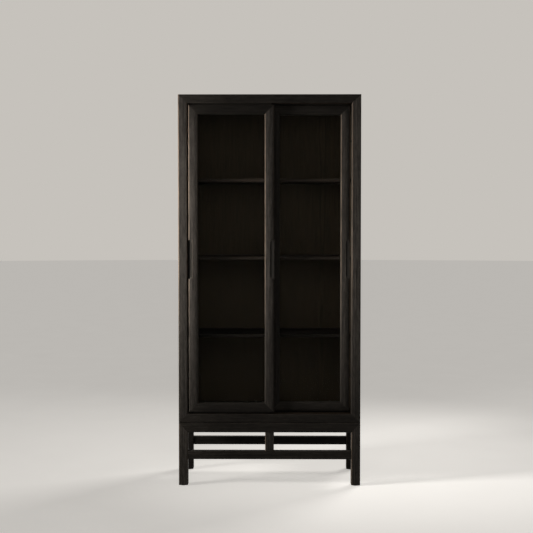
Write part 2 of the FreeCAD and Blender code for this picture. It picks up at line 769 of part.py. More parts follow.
def make_tracks():
    """Two-groove tracks let into the rails: shallow grooves below, deep ones above."""
    thickness = "lower_track_thickness"
    floor = "(lower_track_thickness - lower_groove_depth)"
    section = [("0", "0"), ("track_width", "0"), ("track_width", thickness)]
    section += groove_points(REAR_GROOVE, thickness, floor)
    section += groove_points(FRONT_GROOVE, thickness, floor)
    section += [("0", thickness)]
    lower = member("lower_track", section, OPENING_WIDTH)
    place(lower, f"(-{HALF_OPENING})", TRACK_FRONT, f"({SILL} - lower_track_thickness)",
          ALONG_WIDTH)
    keep(lower)
    section = [("0", "upper_track_thickness"), ("0", "0")]
    section += reversed(groove_points(FRONT_GROOVE, "0", "upper_groove_depth"))
    section += reversed(groove_points(REAR_GROOVE, "0", "upper_groove_depth"))
    section += [("track_width", "0"), ("track_width", "upper_track_thickness")]
    upper = member("upper_track", section, OPENING_WIDTH)
    place(upper, f"(-{HALF_OPENING})", TRACK_FRONT, HEAD, ALONG_WIDTH)
    keep(upper)


def make_bumpers():
    """Soft buttons that stop each door just short of the post or the side panel."""
    bumpers = []
    length = "(door_side_gap - running_gap)"
    for door, face in (("front", FRONT_DOOR_FACE), ("rear", REAR_DOOR_FACE)):
        y = f"({face} + door_thickness / 2)"
        for side, x in (("left", f"(-{HALF_OPENING})"), ("right", f"({HALF_OPENING} - {length})")):
            for index, share in enumerate(BUMPER_HEIGHT_SHARES):
                z = f"({SILL} + {OPENING_HEIGHT} * {share})"
                bumpers.append(rod(f"bumper_{door}_{side}_{index}", "bumper_diameter", length,
                                   x, y, z, FACING_RIGHT))
    group("door_bumpers", bumpers)


def door_section():
    """Profile of a door member: crowned face, square outer edge, rebate for the glass."""
    width = "door_member_width"
    return [
        ("0", "door_crown"), (width, "door_crown"), (width, "glass_seat"),
        (GLASS_EDGE, "glass_seat"), (GLASS_EDGE, "door_thickness"), ("0", "door_thickness"),
    ]


def carve_pull(stile, name, length):
    """Finger pull: a steep inner wall, a floor that rises to the outer edge, round ends."""
    slope = "((pull_depth - pull_outer_depth) / pull_width)"
    start = f"({length} / 2 - pull_height / 2)"
    sketch = flat_sketch(stile, name, "XY_Plane", start)
    draw_outline(sketch, [
        ("pull_width", "(-overrun)"), ("pull_width", "pull_depth"),
        ("(-overrun)", f"(pull_outer_depth - overrun * {slope})"),
        ("(-overrun)", "(-overrun)"),
    ])
    pocket = cut(stile, sketch, "pull_height", True)
    wall = number("pull_width")
    ends = []
    for index, edge in enumerate(pocket.Shape.Edges, 1):
        box = edge.BoundBox
        level = box.XLength < TOLERANCE and box.ZLength < TOLERANCE
        if level and abs(box.XMin - wall) < TOLERANCE and box.YLength > TOLERANCE:
            ends.append(f"Edge{index}")
    round_edges(stile, name + "_ends", ends, "pull_end_radius")
    cove = [
        f"Edge{index}" for index, edge in enumerate(stile.Tip.Shape.Edges, 1)
        if abs(edge.BoundBox.XMin - wall) < TOLERANCE
        and edge.BoundBox.XLength < TOLERANCE and edge.BoundBox.YLength < TOLERANCE
        and abs(edge.BoundBox.YMin - number("pull_depth")) < TOLERANCE
    ]
    round_edges(stile, name + "_cove", cove, "pull_cove_radius")


def make_door(name, left, right, face, pulls):
    """One leaf: a mitred frame of crowned members, its glass, beads and runners."""
    door_width = f"({right} - {left})"
    section = door_section()
    eased = section[:2]
    width = "door_member_width"
    for side, x, z, rotation in (
        ("left", left, DOOR_BOTTOM, UPRIGHT),
        ("right", right, DOOR_TOP, UPRIGHT_MIRRORED),
    ):
        ends = both_mitres(width, width, DOOR_HEIGHT)
        stile = member(f"{name}_{side}_stile", section, DOOR_HEIGHT, eased,
                       "door_edge_radius", ends, "door_crown")
        if side in pulls:
            carve_pull(stile, f"{name}_{side}_pull", DOOR_HEIGHT)
        place(stile, x, face, z, rotation)
        keep(stile)
    for level, x, z, rotation in (
        ("bottom", right, DOOR_BOTTOM, LYING_OUTER_DOWN),
        ("top", left, DOOR_TOP, LYING_OUTER_UP),
    ):
        ends = both_mitres(width, width, door_width)
        rail = member(f"{name}_{level}_rail", section, door_width, eased,
                      "door_edge_radius", ends, "door_crown")
        block(rail, f"{name}_{level}_runner_seat", "Subtractive",
              ("0", "(door_thickness / 2 - runner_thickness / 2)", "runner_inset"),
              ("runner_seat", "runner_thickness", f"({door_width} - runner_inset * 2)"))
        place(rail, x, face, z, rotation)
        keep(rail)
    make_glass(name, left, right, face)
    make_beads(name, left, right, face)
    make_runners(name, left, right, face)


def make_glass(name, left, right, face):
    glass = doc.addObject("Part::Box", f"{name}_glass")
    glass.Label = f"{name}_glass"
    margin = f"({GLASS_EDGE} + glass_gap)"
    glass.setExpression("Length", bound(f"({right} - {left} - {margin} * 2)"))
    glass.setExpression("Width", bound("glass_thickness"))
    glass.setExpression("Height", bound(f"({DOOR_HEIGHT} - {GLASS_EDGE} * 2 - glass_gap)"))
    place(glass, f"({left} + {margin})", f"({face} + glass_seat)", f"({DOOR_BOTTOM} + {GLASS_EDGE})")
    keep(glass)


def make_beads(name, left, right, face):
    """Four mitred beads with a sloped inner edge that hold the glass from behind."""
    width = "glass_rebate"
    section = [
        ("0", "0"), (width, "0"), (width, "(bead_depth - bead_slope)"),
        (f"({width} - bead_slope)", "bead_depth"), ("0", "bead_depth"),
    ]
    y = f"({face} + glass_seat + glass_thickness)"
    tall = f"({DOOR_HEIGHT} - {GLASS_EDGE} * 2)"
    wide = f"({right} - {left} - {GLASS_EDGE} * 2)"
    low, high = f"({DOOR_BOTTOM} + {GLASS_EDGE})", f"({DOOR_TOP} - {GLASS_EDGE})"
    near, far = f"({left} + {GLASS_EDGE})", f"({right} - {GLASS_EDGE})"
    beads = []
    for side, length, x, z, rotation in (
        ("left", tall, near, low, UPRIGHT),
        ("right", tall, far, high, UPRIGHT_MIRRORED),
        ("bottom", wide, far, low, LYING_OUTER_DOWN),
        ("top", wide, near, high, LYING_OUTER_UP),
    ):
        bead = member(f"{name}_bead_{side}", section, length,
                      mitres=both_mitres(width, width, length))
        place(bead, x, y, z, rotation)
        beads.append(bead)
    group(f"{name}_glazing_beads", beads)


def make_runners(name, left, right, face):
    """Runners in the door's edges: a short one in the lower groove, a tall one above."""
    thickness = "runner_thickness"
    y = f"({face} + door_thickness / 2 - runner_thickness / 2)"
    x = f"({left} + runner_inset)"
    length = f"({right} - {left} - runner_inset * 2)"
    low = f"({SILL} - lower_groove_depth + running_gap)"
    height = f"({DOOR_BOTTOM} + runner_seat - {low})"
    section = [
        ("runner_chamfer", "0"), ("(runner_thickness - runner_chamfer)", "0"),
        (thickness, "runner_chamfer"), (thickness, height), ("0", height),
        ("0", "runner_chamfer"),
    ]
    lower = member(f"{name}_lower_runner", section, length)
    place(lower, x, y, low, ALONG_WIDTH)
    keep(lower)
    bottom = f"({DOOR_TOP} - runner_seat)"
    top = f"({HEAD} + upper_groove_depth - lift_room)"
    height = f"({top} - {bottom})"
    section = [
        ("0", "0"), (thickness, "0"), (thickness, f"({height} - runner_chamfer)"),
        ("(runner_thickness - runner_chamfer)", height), ("runner_chamfer", height),
        ("0", f"({height} - runner_chamfer)"),
    ]
    upper = member(f"{name}_upper_runner", section, length)
    place(upper, x, y, bottom, ALONG_WIDTH)
    keep(upper)


def make_doors():
    """The front door closes the left half, and laps over the rear door on the right."""
    make_door("front_door", LEAF_LEFT_EDGE, LEAF_MIDDLE_EDGE, FRONT_DOOR_FACE, ("left", "right"))
    make_door("rear_door", LEAF_HIDDEN_EDGE, LEAF_RIGHT_EDGE, REAR_DOOR_FACE, ("right",))


def write_parts():
    """Check every object, then write one file for each sub-part."""
    doc.recompute()
    for item in doc.Objects:
        if "Invalid" in item.State or "Error" in item.State:
            raise RuntimeError(item.Label + " failed to compute")
    for part in parts:
        if part.Shape.isNull() or not part.Shape.isValid():
            raise RuntimeError(part.Label + " has no valid shape")
    os.makedirs("parts", exist_ok=True)
    for part in parts:
        part.Shape.exportStep(os.path.join("parts", part.Label + ".step"))
    print(len(parts), "sub-parts written")


fill_sheet()
make_legs()
make_stand_rails()
make_stretchers()
make_glides()
make_front_posts()
make_rear_posts()
make_front_rails()
make_rear_rails()
make_side_rails()
make_side_panels()
make_deck_and_top()
make_back_panel()
make_back_screws()
make_stand_bolts()
make_shelves()
make_shelf_studs()
make_tracks()
make_bumpers()
make_doors()
write_parts()
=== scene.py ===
from math import cos, pi, radians, sin

import bmesh
import bpy
from bpy.props import FloatProperty, FloatVectorProperty, IntProperty, PointerProperty
from bpy.types import Operator, PropertyGroup
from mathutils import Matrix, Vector


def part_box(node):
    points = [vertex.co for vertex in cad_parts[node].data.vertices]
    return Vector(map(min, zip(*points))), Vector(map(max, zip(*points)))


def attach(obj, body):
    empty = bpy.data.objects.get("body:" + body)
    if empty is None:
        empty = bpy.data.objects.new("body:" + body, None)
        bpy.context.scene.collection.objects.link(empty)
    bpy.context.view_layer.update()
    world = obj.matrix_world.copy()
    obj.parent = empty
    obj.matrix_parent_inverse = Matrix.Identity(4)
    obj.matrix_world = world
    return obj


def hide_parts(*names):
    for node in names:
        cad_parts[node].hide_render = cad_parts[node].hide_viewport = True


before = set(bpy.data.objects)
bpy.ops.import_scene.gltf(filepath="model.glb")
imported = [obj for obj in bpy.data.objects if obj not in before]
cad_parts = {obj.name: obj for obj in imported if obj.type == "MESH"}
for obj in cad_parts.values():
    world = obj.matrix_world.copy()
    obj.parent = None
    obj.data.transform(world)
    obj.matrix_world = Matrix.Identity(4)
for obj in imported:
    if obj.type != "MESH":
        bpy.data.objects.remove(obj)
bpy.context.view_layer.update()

bl_info = {
    "name": "Mizuya kitchen cabinet",
    "version": (1, 0, 0),
    "blender": (4, 5, 0),
    "location": "View3D > Sidebar > Cabinet",
    "description": "Finishes a black oak cabinet with two sliding glazed doors",
    "category": "Object",
}

MM = 0.001
UPRIGHT, LEVEL, DEEP = "upright", "level", "deep"      # which way a board's grain runs


def boards_of(*runs):
    """Boards by name with the way that their grain runs, from (way, names) pairs."""
    return {name: way for way, names in runs for name in names.split()}


STAND = boards_of(
    (UPRIGHT, "leg_front_left leg_front_right leg_rear_left leg_rear_right"),
    (LEVEL, "stand_front_rail stand_rear_rail"), (DEEP, "stand_left_rail stand_right_rail"),
    (LEVEL, "front_stretcher rear_stretcher"), (UPRIGHT, "front_strut rear_strut"))
CASE_FRAME = boards_of(
    (UPRIGHT, "case_post_front_left case_post_front_right"),
    (UPRIGHT, "case_post_rear_left case_post_rear_right"),
    (LEVEL, "case_front_top_rail case_front_bottom_rail"),
    (LEVEL, "case_rear_top_rail case_rear_bottom_rail"),
    (DEEP, "case_left_top_rail case_left_bottom_rail"),
    (DEEP, "case_right_top_rail case_right_bottom_rail"))
PANELS = boards_of((UPRIGHT, "side_panel_left side_panel_right back_panel"),
                   (LEVEL, "case_deck case_top_panel"))
SHELVES = boards_of((LEVEL, "lower_shelf middle_shelf upper_shelf"))
TRACKS = boards_of((LEVEL, "lower_track upper_track"))
DOOR_MEMBERS = boards_of((UPRIGHT, "left_stile right_stile"), (LEVEL, "bottom_rail top_rail"))
# The outer face of each panel: the axis it looks along, and which way
OUTER_FACES = {"side_panel_left": (0, -1.0), "side_panel_right": (0, 1.0),
               "back_panel": (1, 1.0), "case_deck": (2, -1.0), "case_top_panel": (2, 1.0)}
DOORS = ("front_door", "rear_door")
RUNNERS = ("lower_runner", "upper_runner")


def colour(name, description, *shade):
    """A colour, given as on a screen, 0 to 255, and kept as Blender's linear values."""
    shade = [part / 255 for part in shade]
    linear = [part / 12.92 if part <= 0.04045 else ((part + 0.055) / 1.055) ** 2.4
              for part in shade]
    return FloatVectorProperty(name=name, description=description, default=linear,
                               subtype="COLOR", size=3, min=0.0, max=1.0)


def figures(**sort):
    """What makes properties for one sort of figure."""
    def made(name, description, default, **more):
        return FloatProperty(name=name, description=description, default=default, **sort, **more)
    return made


figure = figures()
length = figures(min=0.0, unit="LENGTH", subtype="DISTANCE", precision=5)
share = figures(min=0.0, max=1.0, subtype="FACTOR")
watts = figures(min=0.0, unit="POWER")
tilt = figures(unit="ROTATION", subtype="ANGLE")


# ---------------- settings

class FrameOakSettings(PropertyGroup):
    ground: colour("Stain", "Colour of the soft early wood under the black stain", 37, 35, 32)
    ridge: colour("Ridges", "Colour of the brushed late wood, which takes less stain", 65, 60, 55)
    pore: colour("Pores", "Colour in the open pores", 18, 16, 15)
    # The worn colour is also the painted highlight on edges that face the light
    worn: colour("Rubbed and lit edges", "Colour where the edges are rubbed through", 151, 130, 110)
    ring_width: length("Ring width", "Distance from one yearly ring to the next", 3.4 * MM)
    relief: length("Brushed relief", "Height of the ridges over the brushed hollows", 0.5 * MM)
    swell: length("Hand-planed swell", "How much a planed face rises to its middle", 1.8 * MM)
    # Painted light: the lighter colour laid on a pull's floor where the pull's wall shades it
    polished: colour("Polished", "The finish inside the finger pulls", 120, 115, 108)
    # Painted shadow: the near-black laid along a pull's left side, where its wall casts shade
    grime: colour("Grime", "Colour of the grime along a pull's inner side", 7, 6, 6)
    pull_width: length("Pull width", "Width of a finger pull, in from the door's edge", 21 * MM)
    pull_height: length("Pull height", "Height of a finger pull", 215 * MM)
    # Edge marks are rubbed wear and a painted highlight; the right and lower edges, which face away
    # from the light, get less of them as painted shade
    wear_reach: length("Wear reach", "How far wear runs in from an edge", 7.0 * MM)
    wear: share("Edge wear", "How much of the stain is rubbed off along the edges", 0.5)
    far_wear: share("Far edge wear", "Share of that wear on the right and lower edges", 0.25)
    roughness: share("Roughness", "Roughness of the oiled face", 0.58)
    edge_roughness: share("Edge roughness", "Roughness of a burnished edge", 0.42)
    shine: share("Shine", "How strongly the finish reflects", 0.08)


class InsideOakSettings(PropertyGroup):
    ground: colour("Stain", "Colour of the boards inside", 42, 34, 26)
    ridge: colour("Ridges", "Colour of the late wood inside", 60, 48, 37)
    pore: colour("Pores", "Colour in the pores inside", 24, 19, 14)
    relief: length("Relief", "Height of the grain inside, which is sanded and not brushed",
                   0.15 * MM)
    roughness: share("Roughness", "Roughness of the boards inside", 0.66)
    shine: share("Shine", "How strongly the boards inside reflect", 0.16)


class GlassSettings(PropertyGroup):
    tint: colour("Tint", "Colour that the pane gives to what is behind it", 246, 250, 247)
    bending: figure("Index of refraction", "How much the pane bends light", 1.5, min=1.0,
                    max=2.0)
    shine: share("Shine", "How strongly the pane reflects", 0.02)
    wave: length("Waves", "Depth of the slow waves in the pane", 0.05 * MM)


class FittingSettings(PropertyGroup):
    sides: IntProperty(name="Sides", description="Sides of a turned fitting", default=24,
                       min=12, max=64)
    stud_head: length("Stud head length", "How far a stud stands out under the shelf", 10 * MM)
    stud_peg: length("Stud peg radius", "Radius of the peg in the wall", 2.5 * MM)
    screw_head: length("Screw head height", "Height of a back screw's head", 3 * MM)
    screw_shank: length("Screw shank radius", "Radius of a back screw's shank", 2 * MM)
    bolt_head: length("Bolt head height", "Height of a stand bolt's head", 8 * MM)
    bolt_shank: length("Bolt shank radius", "Radius of a stand bolt's shank", 4 * MM)
    bolt_socket: length("Bolt socket radius", "Radius of the six-sided socket", 3.5 * MM)
    chamfer: length("Chamfer", "Width of the small chamfers", 0.5 * MM)
    metal: colour("Metal", "Colour of the blackened steel fittings", 74, 71, 68)
    rubber: colour("Rubber", "Colour of the door bumpers", 34, 33, 33)
    felt: colour("Felt", "Colour of the pads under the feet", 58, 54, 50)
    runner: colour("Runner", "Colour of the hard strips on the doors", 27, 25, 22)


class StageSettings(PropertyGroup):
    floor: colour("Floor", "Colour of the plain floor", 242, 238, 232)
    room: colour("Room", "Colour of the plain background", 198, 194, 188)
    fill: share("Fill", "Strength of the even light from all sides", 0.028)
    bounce: share("Bounce", "How much light the floor gives back to the cabinet", 0.2)
    glow: share("Floor glow", "How bright the floor looks of its own, without lighting anything",
                0.53)
    window: watts("Window", "Power of the soft light from the front", 10.3)
    window_size: length("Window size", "How wide the window is", 1.1)
    side: watts("Side lamp", "Power of the lamp that skims the front", 21.9)
    rear: watts("Rear lamp", "Power of the soft light on back and right", 24.0)
    lens: figure("Lens", "Focal length on a 36 mm wide sensor, in mm", 73.5, min=10.0)
    camera_place: FloatVectorProperty(name="Camera", description="Where the camera stands",
                                      default=(0.0309, -6.180, 1.4325), subtype="TRANSLATION",
                                      unit="LENGTH")
    aim_down: tilt("Aim down", "How far the camera looks down", radians(2.13))
    aim_left: tilt("Aim left", "How far the camera looks to its left", radians(0.455))


SETTINGS = {
    "cabinet_frame_oak": FrameOakSettings,
    "cabinet_inside_oak": InsideOakSettings,
    "cabinet_glass": GlassSettings,
    "cabinet_fittings": FittingSettings,
    "cabinet_stage": StageSettings,
}


# ---------------- wiring of node trees

class Wiring:
    """Adds nodes to one tree. An input is a number, a colour or another node's output."""

    def __init__(self, tree):
        self.tree = tree

    def link(self, value, socket):
        self.tree.links.new(value, socket)

    def add(self, kind, inputs=None, **settings):
        made = self.tree.nodes.new(kind)
        for name, value in settings.items():
            setattr(made, name, value)
        for key, value in (inputs or {}).items():
            if isinstance(value, bpy.types.NodeSocket):
                self.link(value, made.inputs[key])
            else:
                made.inputs[key].default_value = value
        return made

    def maths(self, operation, *values):
        return self.add("ShaderNodeMath", dict(enumerate(values)), operation=operation).outputs[0]

    def plus(self, first, second):
        return self.maths("ADD", first, second)

    def minus(self, first, second):
        return self.maths("SUBTRACT", first, second)

    def times(self, first, second):
        return self.maths("MULTIPLY", first, second)

    def line(self, value, slope, level):
        """The value times the slope, plus the level."""
        return self.maths("MULTIPLY_ADD", value, slope, level)

    def vectors(self, operation, first, second):
        return self.add("ShaderNodeVectorMath", {0: first, 1: second},
                        operation=operation).outputs["Vector"]

    def scaled(self, vector, amount):
        return self.add("ShaderNodeVectorMath", {0: vector, "Scale": amount},
                        operation="SCALE").outputs["Vector"]

    def parts(self, vector):
        return self.add("ShaderNodeSeparateXYZ", {0: vector}).outputs

    def ramp(self, value, low, high, start=0.0, end=1.0):
        """Goes smoothly from start to end as value goes from low to high."""
        return self.add("ShaderNodeMapRange", {0: value, 1: low, 2: high, 3: start, 4: end},
                        interpolation_type="SMOOTHSTEP").outputs[0]

    def between(self, amount, first, second):
        return self.add("ShaderNodeMix", {0: amount, 6: first, 7: second},
                        data_type="RGBA").outputs[2]

    def noise(self, place, scale, detail=2.0, roughness=0.5, out="Fac"):
        return self.add("ShaderNodeTexNoise", {"Vector": place, "Scale": scale,
                                               "Detail": detail, "Roughness": roughness},
                        noise_dimensions="3D").outputs[out]

    def drawn_out(self, place, squeeze, *noise):
        """Noise drawn out along Z, where squeeze is small."""
        return self.noise(self.vectors("MULTIPLY", place, (1.0, 1.0, squeeze)), *noise)


def new_group(name, kind, inputs, outputs):
    """An empty node group with its named sockets, and its Group Input and Group Output."""
    tree = bpy.data.node_groups.new(name, kind)
    for way, sockets in (("INPUT", inputs), ("OUTPUT", outputs)):
        for title, sort, *default in sockets:
            socket = tree.interface.new_socket(name=title, in_out=way,
                                               socket_type="NodeSocket" + sort)
            if default:
                socket.default_value = default[0]
    given, result = tree.nodes.new("NodeGroupInput"), tree.nodes.new("NodeGroupOutput")
    return Wiring(tree), given.outputs, result.inputs


def shared(build):
    """Has a shader group built once, under the builder's name, and handed out from then on."""
    def ask():
        return bpy.data.node_groups.get(build.__name__) or build(build.__name__)
    return ask


# ---------------- shared finishes

# The trunk's slow bends: how they are drawn out, their scale, and how far they go
BEND_SQUEEZE, BEND_SCALE, BEND_REACH = 0.22, 3.0, 0.03
RING_CHANGE, RING_SHIFT = 0.31, 2.2      # how fast rings change in width, and by how many rings
# How each noise of the grain is drawn out, and its scale, detail and roughness
FIBRE = (0.02, 780.0, 3.0, 0.65)
STREAK = (0.045, 120.0, 3.0, 0.6)
CLOUD = (0.2, 14.0, 3.0, 0.55)
MOTTLE = (0.22, 110.0, 2.0, 0.6)
PORE_SQUEEZE, PORE_SCALE = 0.055, 1150.0
PORES_LATE, PORES_EARLY = 0.16, 0.24     # how dense pores are in late wood, and how much more so
LATE_HEIGHT, FIBRE_HEIGHT, STREAK_HEIGHT, PORE_HEIGHT = 0.38, 0.42, 0.3, -0.55
CLOUD_TONE, STREAK_TONE, MOTTLE_TONE = 0.7, 1.3, 1.4


@shared
def oak_grain(name):
    """The grain of one oak board: grain along Z, heart of the tree at the origin."""
    wire, given, result = new_group(name, "ShaderNodeTree", [
        ("Place", "Vector"), ("Ring Width", "Float", 3.4 * MM), ("Tone", "Color"),
        ("Contrast", "Float", 1.0), ("Ground", "Color"), ("Ridge", "Color"), ("Pore", "Color"),
    ], [("Color", "Color"), ("Height", "Float"), ("Open", "Float")])

    # The trunk's slow bends, then rings of uneven width
    place = given["Place"]
    slow = wire.vectors("MULTIPLY", place, (1.0, 1.0, BEND_SQUEEZE))
    bend = wire.vectors("SUBTRACT", wire.noise(slow, BEND_SCALE, out="Color"), (0.5, 0.5, 0.5))
    bent = wire.vectors("ADD", place, wire.vectors("MULTIPLY", bend,
                                                   (BEND_REACH, BEND_REACH, 0.0)))
    apart = wire.parts(bent)
    across = wire.maths("SQRT", wire.plus(wire.times(apart[0], apart[0]),
                                          wire.times(apart[1], apart[1])))
    ring = wire.maths("DIVIDE", across, given["Ring Width"])
    uneven = wire.add("ShaderNodeTexNoise", {"W": wire.times(ring, RING_CHANGE), "Scale": 1.0,
                                             "Detail": 2.0}, noise_dimensions="1D")
    part = wire.maths("FRACT", wire.line(uneven.outputs["Fac"], RING_SHIFT, ring))
    early = wire.times(wire.ramp(part, 0.0, 0.12), wire.ramp(part, 0.22, 0.7, 1.0, 0.0))

    # Fibres, streaks and pores, drawn out along the board
    fibre, streak, cloud, mottle = (wire.drawn_out(bent, *sort)
                                    for sort in (FIBRE, STREAK, CLOUD, MOTTLE))
    cells = wire.add("ShaderNodeTexVoronoi", {
        "Vector": wire.vectors("MULTIPLY", bent, (1.0, 1.0, PORE_SQUEEZE)),
        "Scale": PORE_SCALE, "Randomness": 1.0}, feature="F1", voronoi_dimensions="3D")
    dense = wire.line(early, PORES_EARLY, PORES_LATE)
    pore = wire.ramp(wire.minus(dense, cells.outputs["Distance"]), -0.04, 0.1)

    # Heights, and the stain that they take
    late = wire.line(wire.minus(0.5, early), given["Contrast"], 0.5)
    raised = wire.line(late, LATE_HEIGHT, wire.times(fibre, FIBRE_HEIGHT))
    raised = wire.plus(raised, wire.times(streak, STREAK_HEIGHT))
    stained = wire.between(wire.ramp(raised, 0.22, 0.86), given["Ground"], given["Ridge"])
    swing = wire.line(cloud, CLOUD_TONE, -CLOUD_TONE / 2)
    for noise, strength in ((streak, STREAK_TONE), (mottle, MOTTLE_TONE)):
        swing = wire.plus(swing, wire.line(noise, strength, -strength / 2))
    toned = wire.scaled(wire.vectors("MULTIPLY", stained, given["Tone"]),
                        wire.line(swing, given["Contrast"], 1.0))
    wire.link(wire.between(pore, toned, given["Pore"]), result["Color"])
    wire.link(wire.line(pore, PORE_HEIGHT, raised), result["Height"])
    wire.link(pore, result["Open"])
    return wire.tree


RAGGED = (38.0, 4.0, 0.7)            # scale, detail and roughness of the wear's broken edge
PATCH_SCALE, LEAST_PATCH = 6.0, 0.45  # size of the patches of wear, and the least wear in one
WEAR_RISE_LOW, WEAR_RISE_HIGH = -0.6, 0.15     # from where up to where, from a board's middle, the wear and its painted highlight grow
LOW_WEAR = 0.12                      # how much of it is left below


@shared
def edge_wear(name):
    """Where a board's long edges are painted lighter, as rubbed wear and a painted highlight that
    is strongest on the left and upper edges: the board is centred, and runs along Z.
    """
    wire, given, result = new_group(name, "ShaderNodeTree", [
        ("Place", "Vector"), ("Half Width", "Float", 0.025), ("Half Depth", "Float", 0.025),
        ("Reach", "Float", 5 * MM), ("Far Side", "Float", 0.25),
    ], [("Wear", "Float"), ("Planed", "Float")])
    apart = wire.parts(given["Place"])
    inward = [wire.minus(given[half], wire.maths("ABSOLUTE", apart[axis]))
              for axis, half in enumerate(("Half Width", "Half Depth"))]
    from_edge = wire.maths("SQRT", wire.plus(*[wire.times(way, way) for way in inward]))
    across = wire.maths("DIVIDE", apart[0], given["Half Width"])
    square = wire.times(across, across)
    turned_down = wire.times(wire.maths("POWER", square, 5.0), -1.0)
    wire.link(wire.minus(turned_down, square), result["Planed"])
    ragged = wire.line(wire.noise(given["Place"], *RAGGED), 0.9, 0.55)
    near = wire.ramp(wire.maths("DIVIDE", from_edge, wire.times(given["Reach"], ragged)),
                     0.35, 1.0, 1.0, 0.0)
    uneven = wire.ramp(wire.noise(given["Place"], PATCH_SCALE), 0.3, 0.62, LEAST_PATCH, 1.0)
    lit_side_and_height = wire.times(wire.ramp(across, -0.4, 0.4, 1.0, given["Far Side"]),
                         wire.ramp(apart[2], WEAR_RISE_LOW, WEAR_RISE_HIGH, LOW_WEAR, 1.0))
    wire.link(wire.times(wire.times(near, uneven), lit_side_and_height), result["Wear"])
    return wire.tree


POCKET_START, POCKET_DEEP = 3.5 * MM, 5 * MM      # how far below the face a pull's floor begins
SOFT = 1 * MM                                     # how softly the marks begin and end
LIT_STRIP_SHARE, LIT_STRIP_FADE = 0.15, 4 * MM              # painted light on the lamp-lit strip at the pull's right, and how it fades in


@shared
def pull_marks(name):
    """Painted light and shade in a finger pull: a painted shadow along its left side, a floor
    painted lighter where it lies in shade, and a rim in the worn colour, partly rubbed and partly a
    painted highlight.
    """
    wire, given, result = new_group(name, "ShaderNodeTree", [
        ("Place", "Vector"), ("Face", "Float"), ("Left", "Float"), ("Right", "Float"),
        ("Half Height", "Float", 0.1), ("Grime Width", "Float", 5 * MM),
        ("Bare Width", "Float", 5 * MM),
    ], [("Floor", "Float"), ("Rim", "Float"), ("Grime", "Float")])
    apart = wire.parts(given["Place"])
    from_left = wire.minus(apart[0], given["Left"])
    from_right = wire.minus(given["Right"], apart[0])
    above = wire.minus(wire.maths("ABSOLUTE", apart[2]), given["Half Height"])
    along = wire.ramp(above, -SOFT, SOFT, 1.0, 0.0)
    deep = wire.ramp(wire.minus(apart[1], given["Face"]), POCKET_START, POCKET_DEEP)
    pocket = wire.times(along, wire.times(deep, wire.ramp(
        wire.maths("MINIMUM", from_left, from_right), -2.5 * MM, -1.5 * MM)))
    # Painted shadow along the pull's left side where its wall casts shade; painted light on the
    # rest of the floor, less on the lamp-lit right strip
    out_of_shadow = wire.ramp(wire.minus(from_left, given["Grime Width"]), -SOFT, SOFT)
    rubbed = wire.times(out_of_shadow, wire.ramp(wire.minus(from_right, given["Bare Width"]),
                                         -LIT_STRIP_FADE, 0.0, LIT_STRIP_SHARE, 1.0))
    edge = wire.maths("MINIMUM", wire.maths("ABSOLUTE", from_left),
                      wire.maths("ABSOLUTE", from_right))
    rim = wire.times(wire.times(wire.ramp(edge, SOFT, 4 * MM, 1.0, 0.0), along),
                     wire.minus(1.0, deep))
    wire.link(wire.times(pocket, rubbed), result["Floor"])
    wire.link(rim, result["Rim"])
    wire.link(wire.times(pocket, wire.minus(1.0, out_of_shadow)), result["Grime"])
    return wire.tree


@shared
def surface_speckle(name):
    """Fine even speckle for turned metal, rubber and felt."""
    wire, given, result = new_group(name, "ShaderNodeTree", [
        ("Place", "Vector"), ("Grain", "Float", 2000.0), ("Amount", "Float", 0.2),
        ("Base", "Color"),
    ], [("Color", "Color"), ("Height", "Float")])
    fine = wire.noise(given["Place"], given["Grain"], 3.0, 0.6)
    broad = wire.noise(given["Place"], 90.0)
    both = wire.minus(wire.plus(fine, broad), 1.0)
    wire.link(wire.scaled(given["Base"], wire.line(both, given["Amount"], 1.0)),
              result["Color"])
    wire.link(fine, result["Height"])
    return wire.tree


# ---------------- materials

def new_material(name):
    """A material with its tree emptied, and its Object coordinates."""
    material = bpy.data.materials.new(name)
    material.use_nodes = True
    material.node_tree.nodes.clear()
    wire = Wiring(material.node_tree)
    return material, wire, wire.add("ShaderNodeTexCoord").outputs["Object"]


def finish_surface(wire, shader):
    wire.add("ShaderNodeOutputMaterial", {"Surface": shader}).is_active_output = True


def coating(wire, height, relief, inputs):
    """A Principled shader with these inputs, whose relief follows the height."""
    bump = wire.add("ShaderNodeBump", {"Height": height, "Distance": relief, "Strength": 1.0})
    return wire.add("ShaderNodeBsdfPrincipled", {"Normal": bump.outputs[0],
                                                 **inputs}).outputs[0]


def opaque(values):
    return (*values, 1.0)


def board_frame(node, way):
    """A board's centre, the turn that takes Z along its grain, its half section and half length."""
    low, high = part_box(node)
    half = (high - low) / 2
    turn, section, reach = {
        UPRIGHT: ((0.0, 0.0, 0.0), (half.x, half.y), half.z),
        LEVEL: ((0.0, pi / 2, 0.0), (half.z, half.y), half.x),
        DEEP: ((-pi / 2, 0.0, 0.0), (half.x, half.z), half.y),
    }[way]
    return (low + high) / 2, turn, section, reach


# Painted shade by the grain's way: level and deep boards painted darker and browner, since side
# light catches upright grain more; and how much of the worn colour and its painted highlight their
# edges take
SHADE_BY_WAY = {UPRIGHT: (1.0, 1.0, 1.0), LEVEL: (0.358, 0.355, 0.347), DEEP: (0.6, 0.57, 0.54)}
WORN_AND_LIT_SHARES = {UPRIGHT: 1.0, LEVEL: 0.03, DEEP: 0.3}
# Boards whose edges take less of the worn colour and its painted highlight than their fellows', as
# painted shade: the rear door's left stile lies in the front door's shadow
OWN_WORN_AND_LIT_SHARES = {"rear_door_left_stile": 0.0, "front_door_right_stile": 0.7,
                   "rear_door_right_stile": 0.6, "case_post_front_right": 0.5}
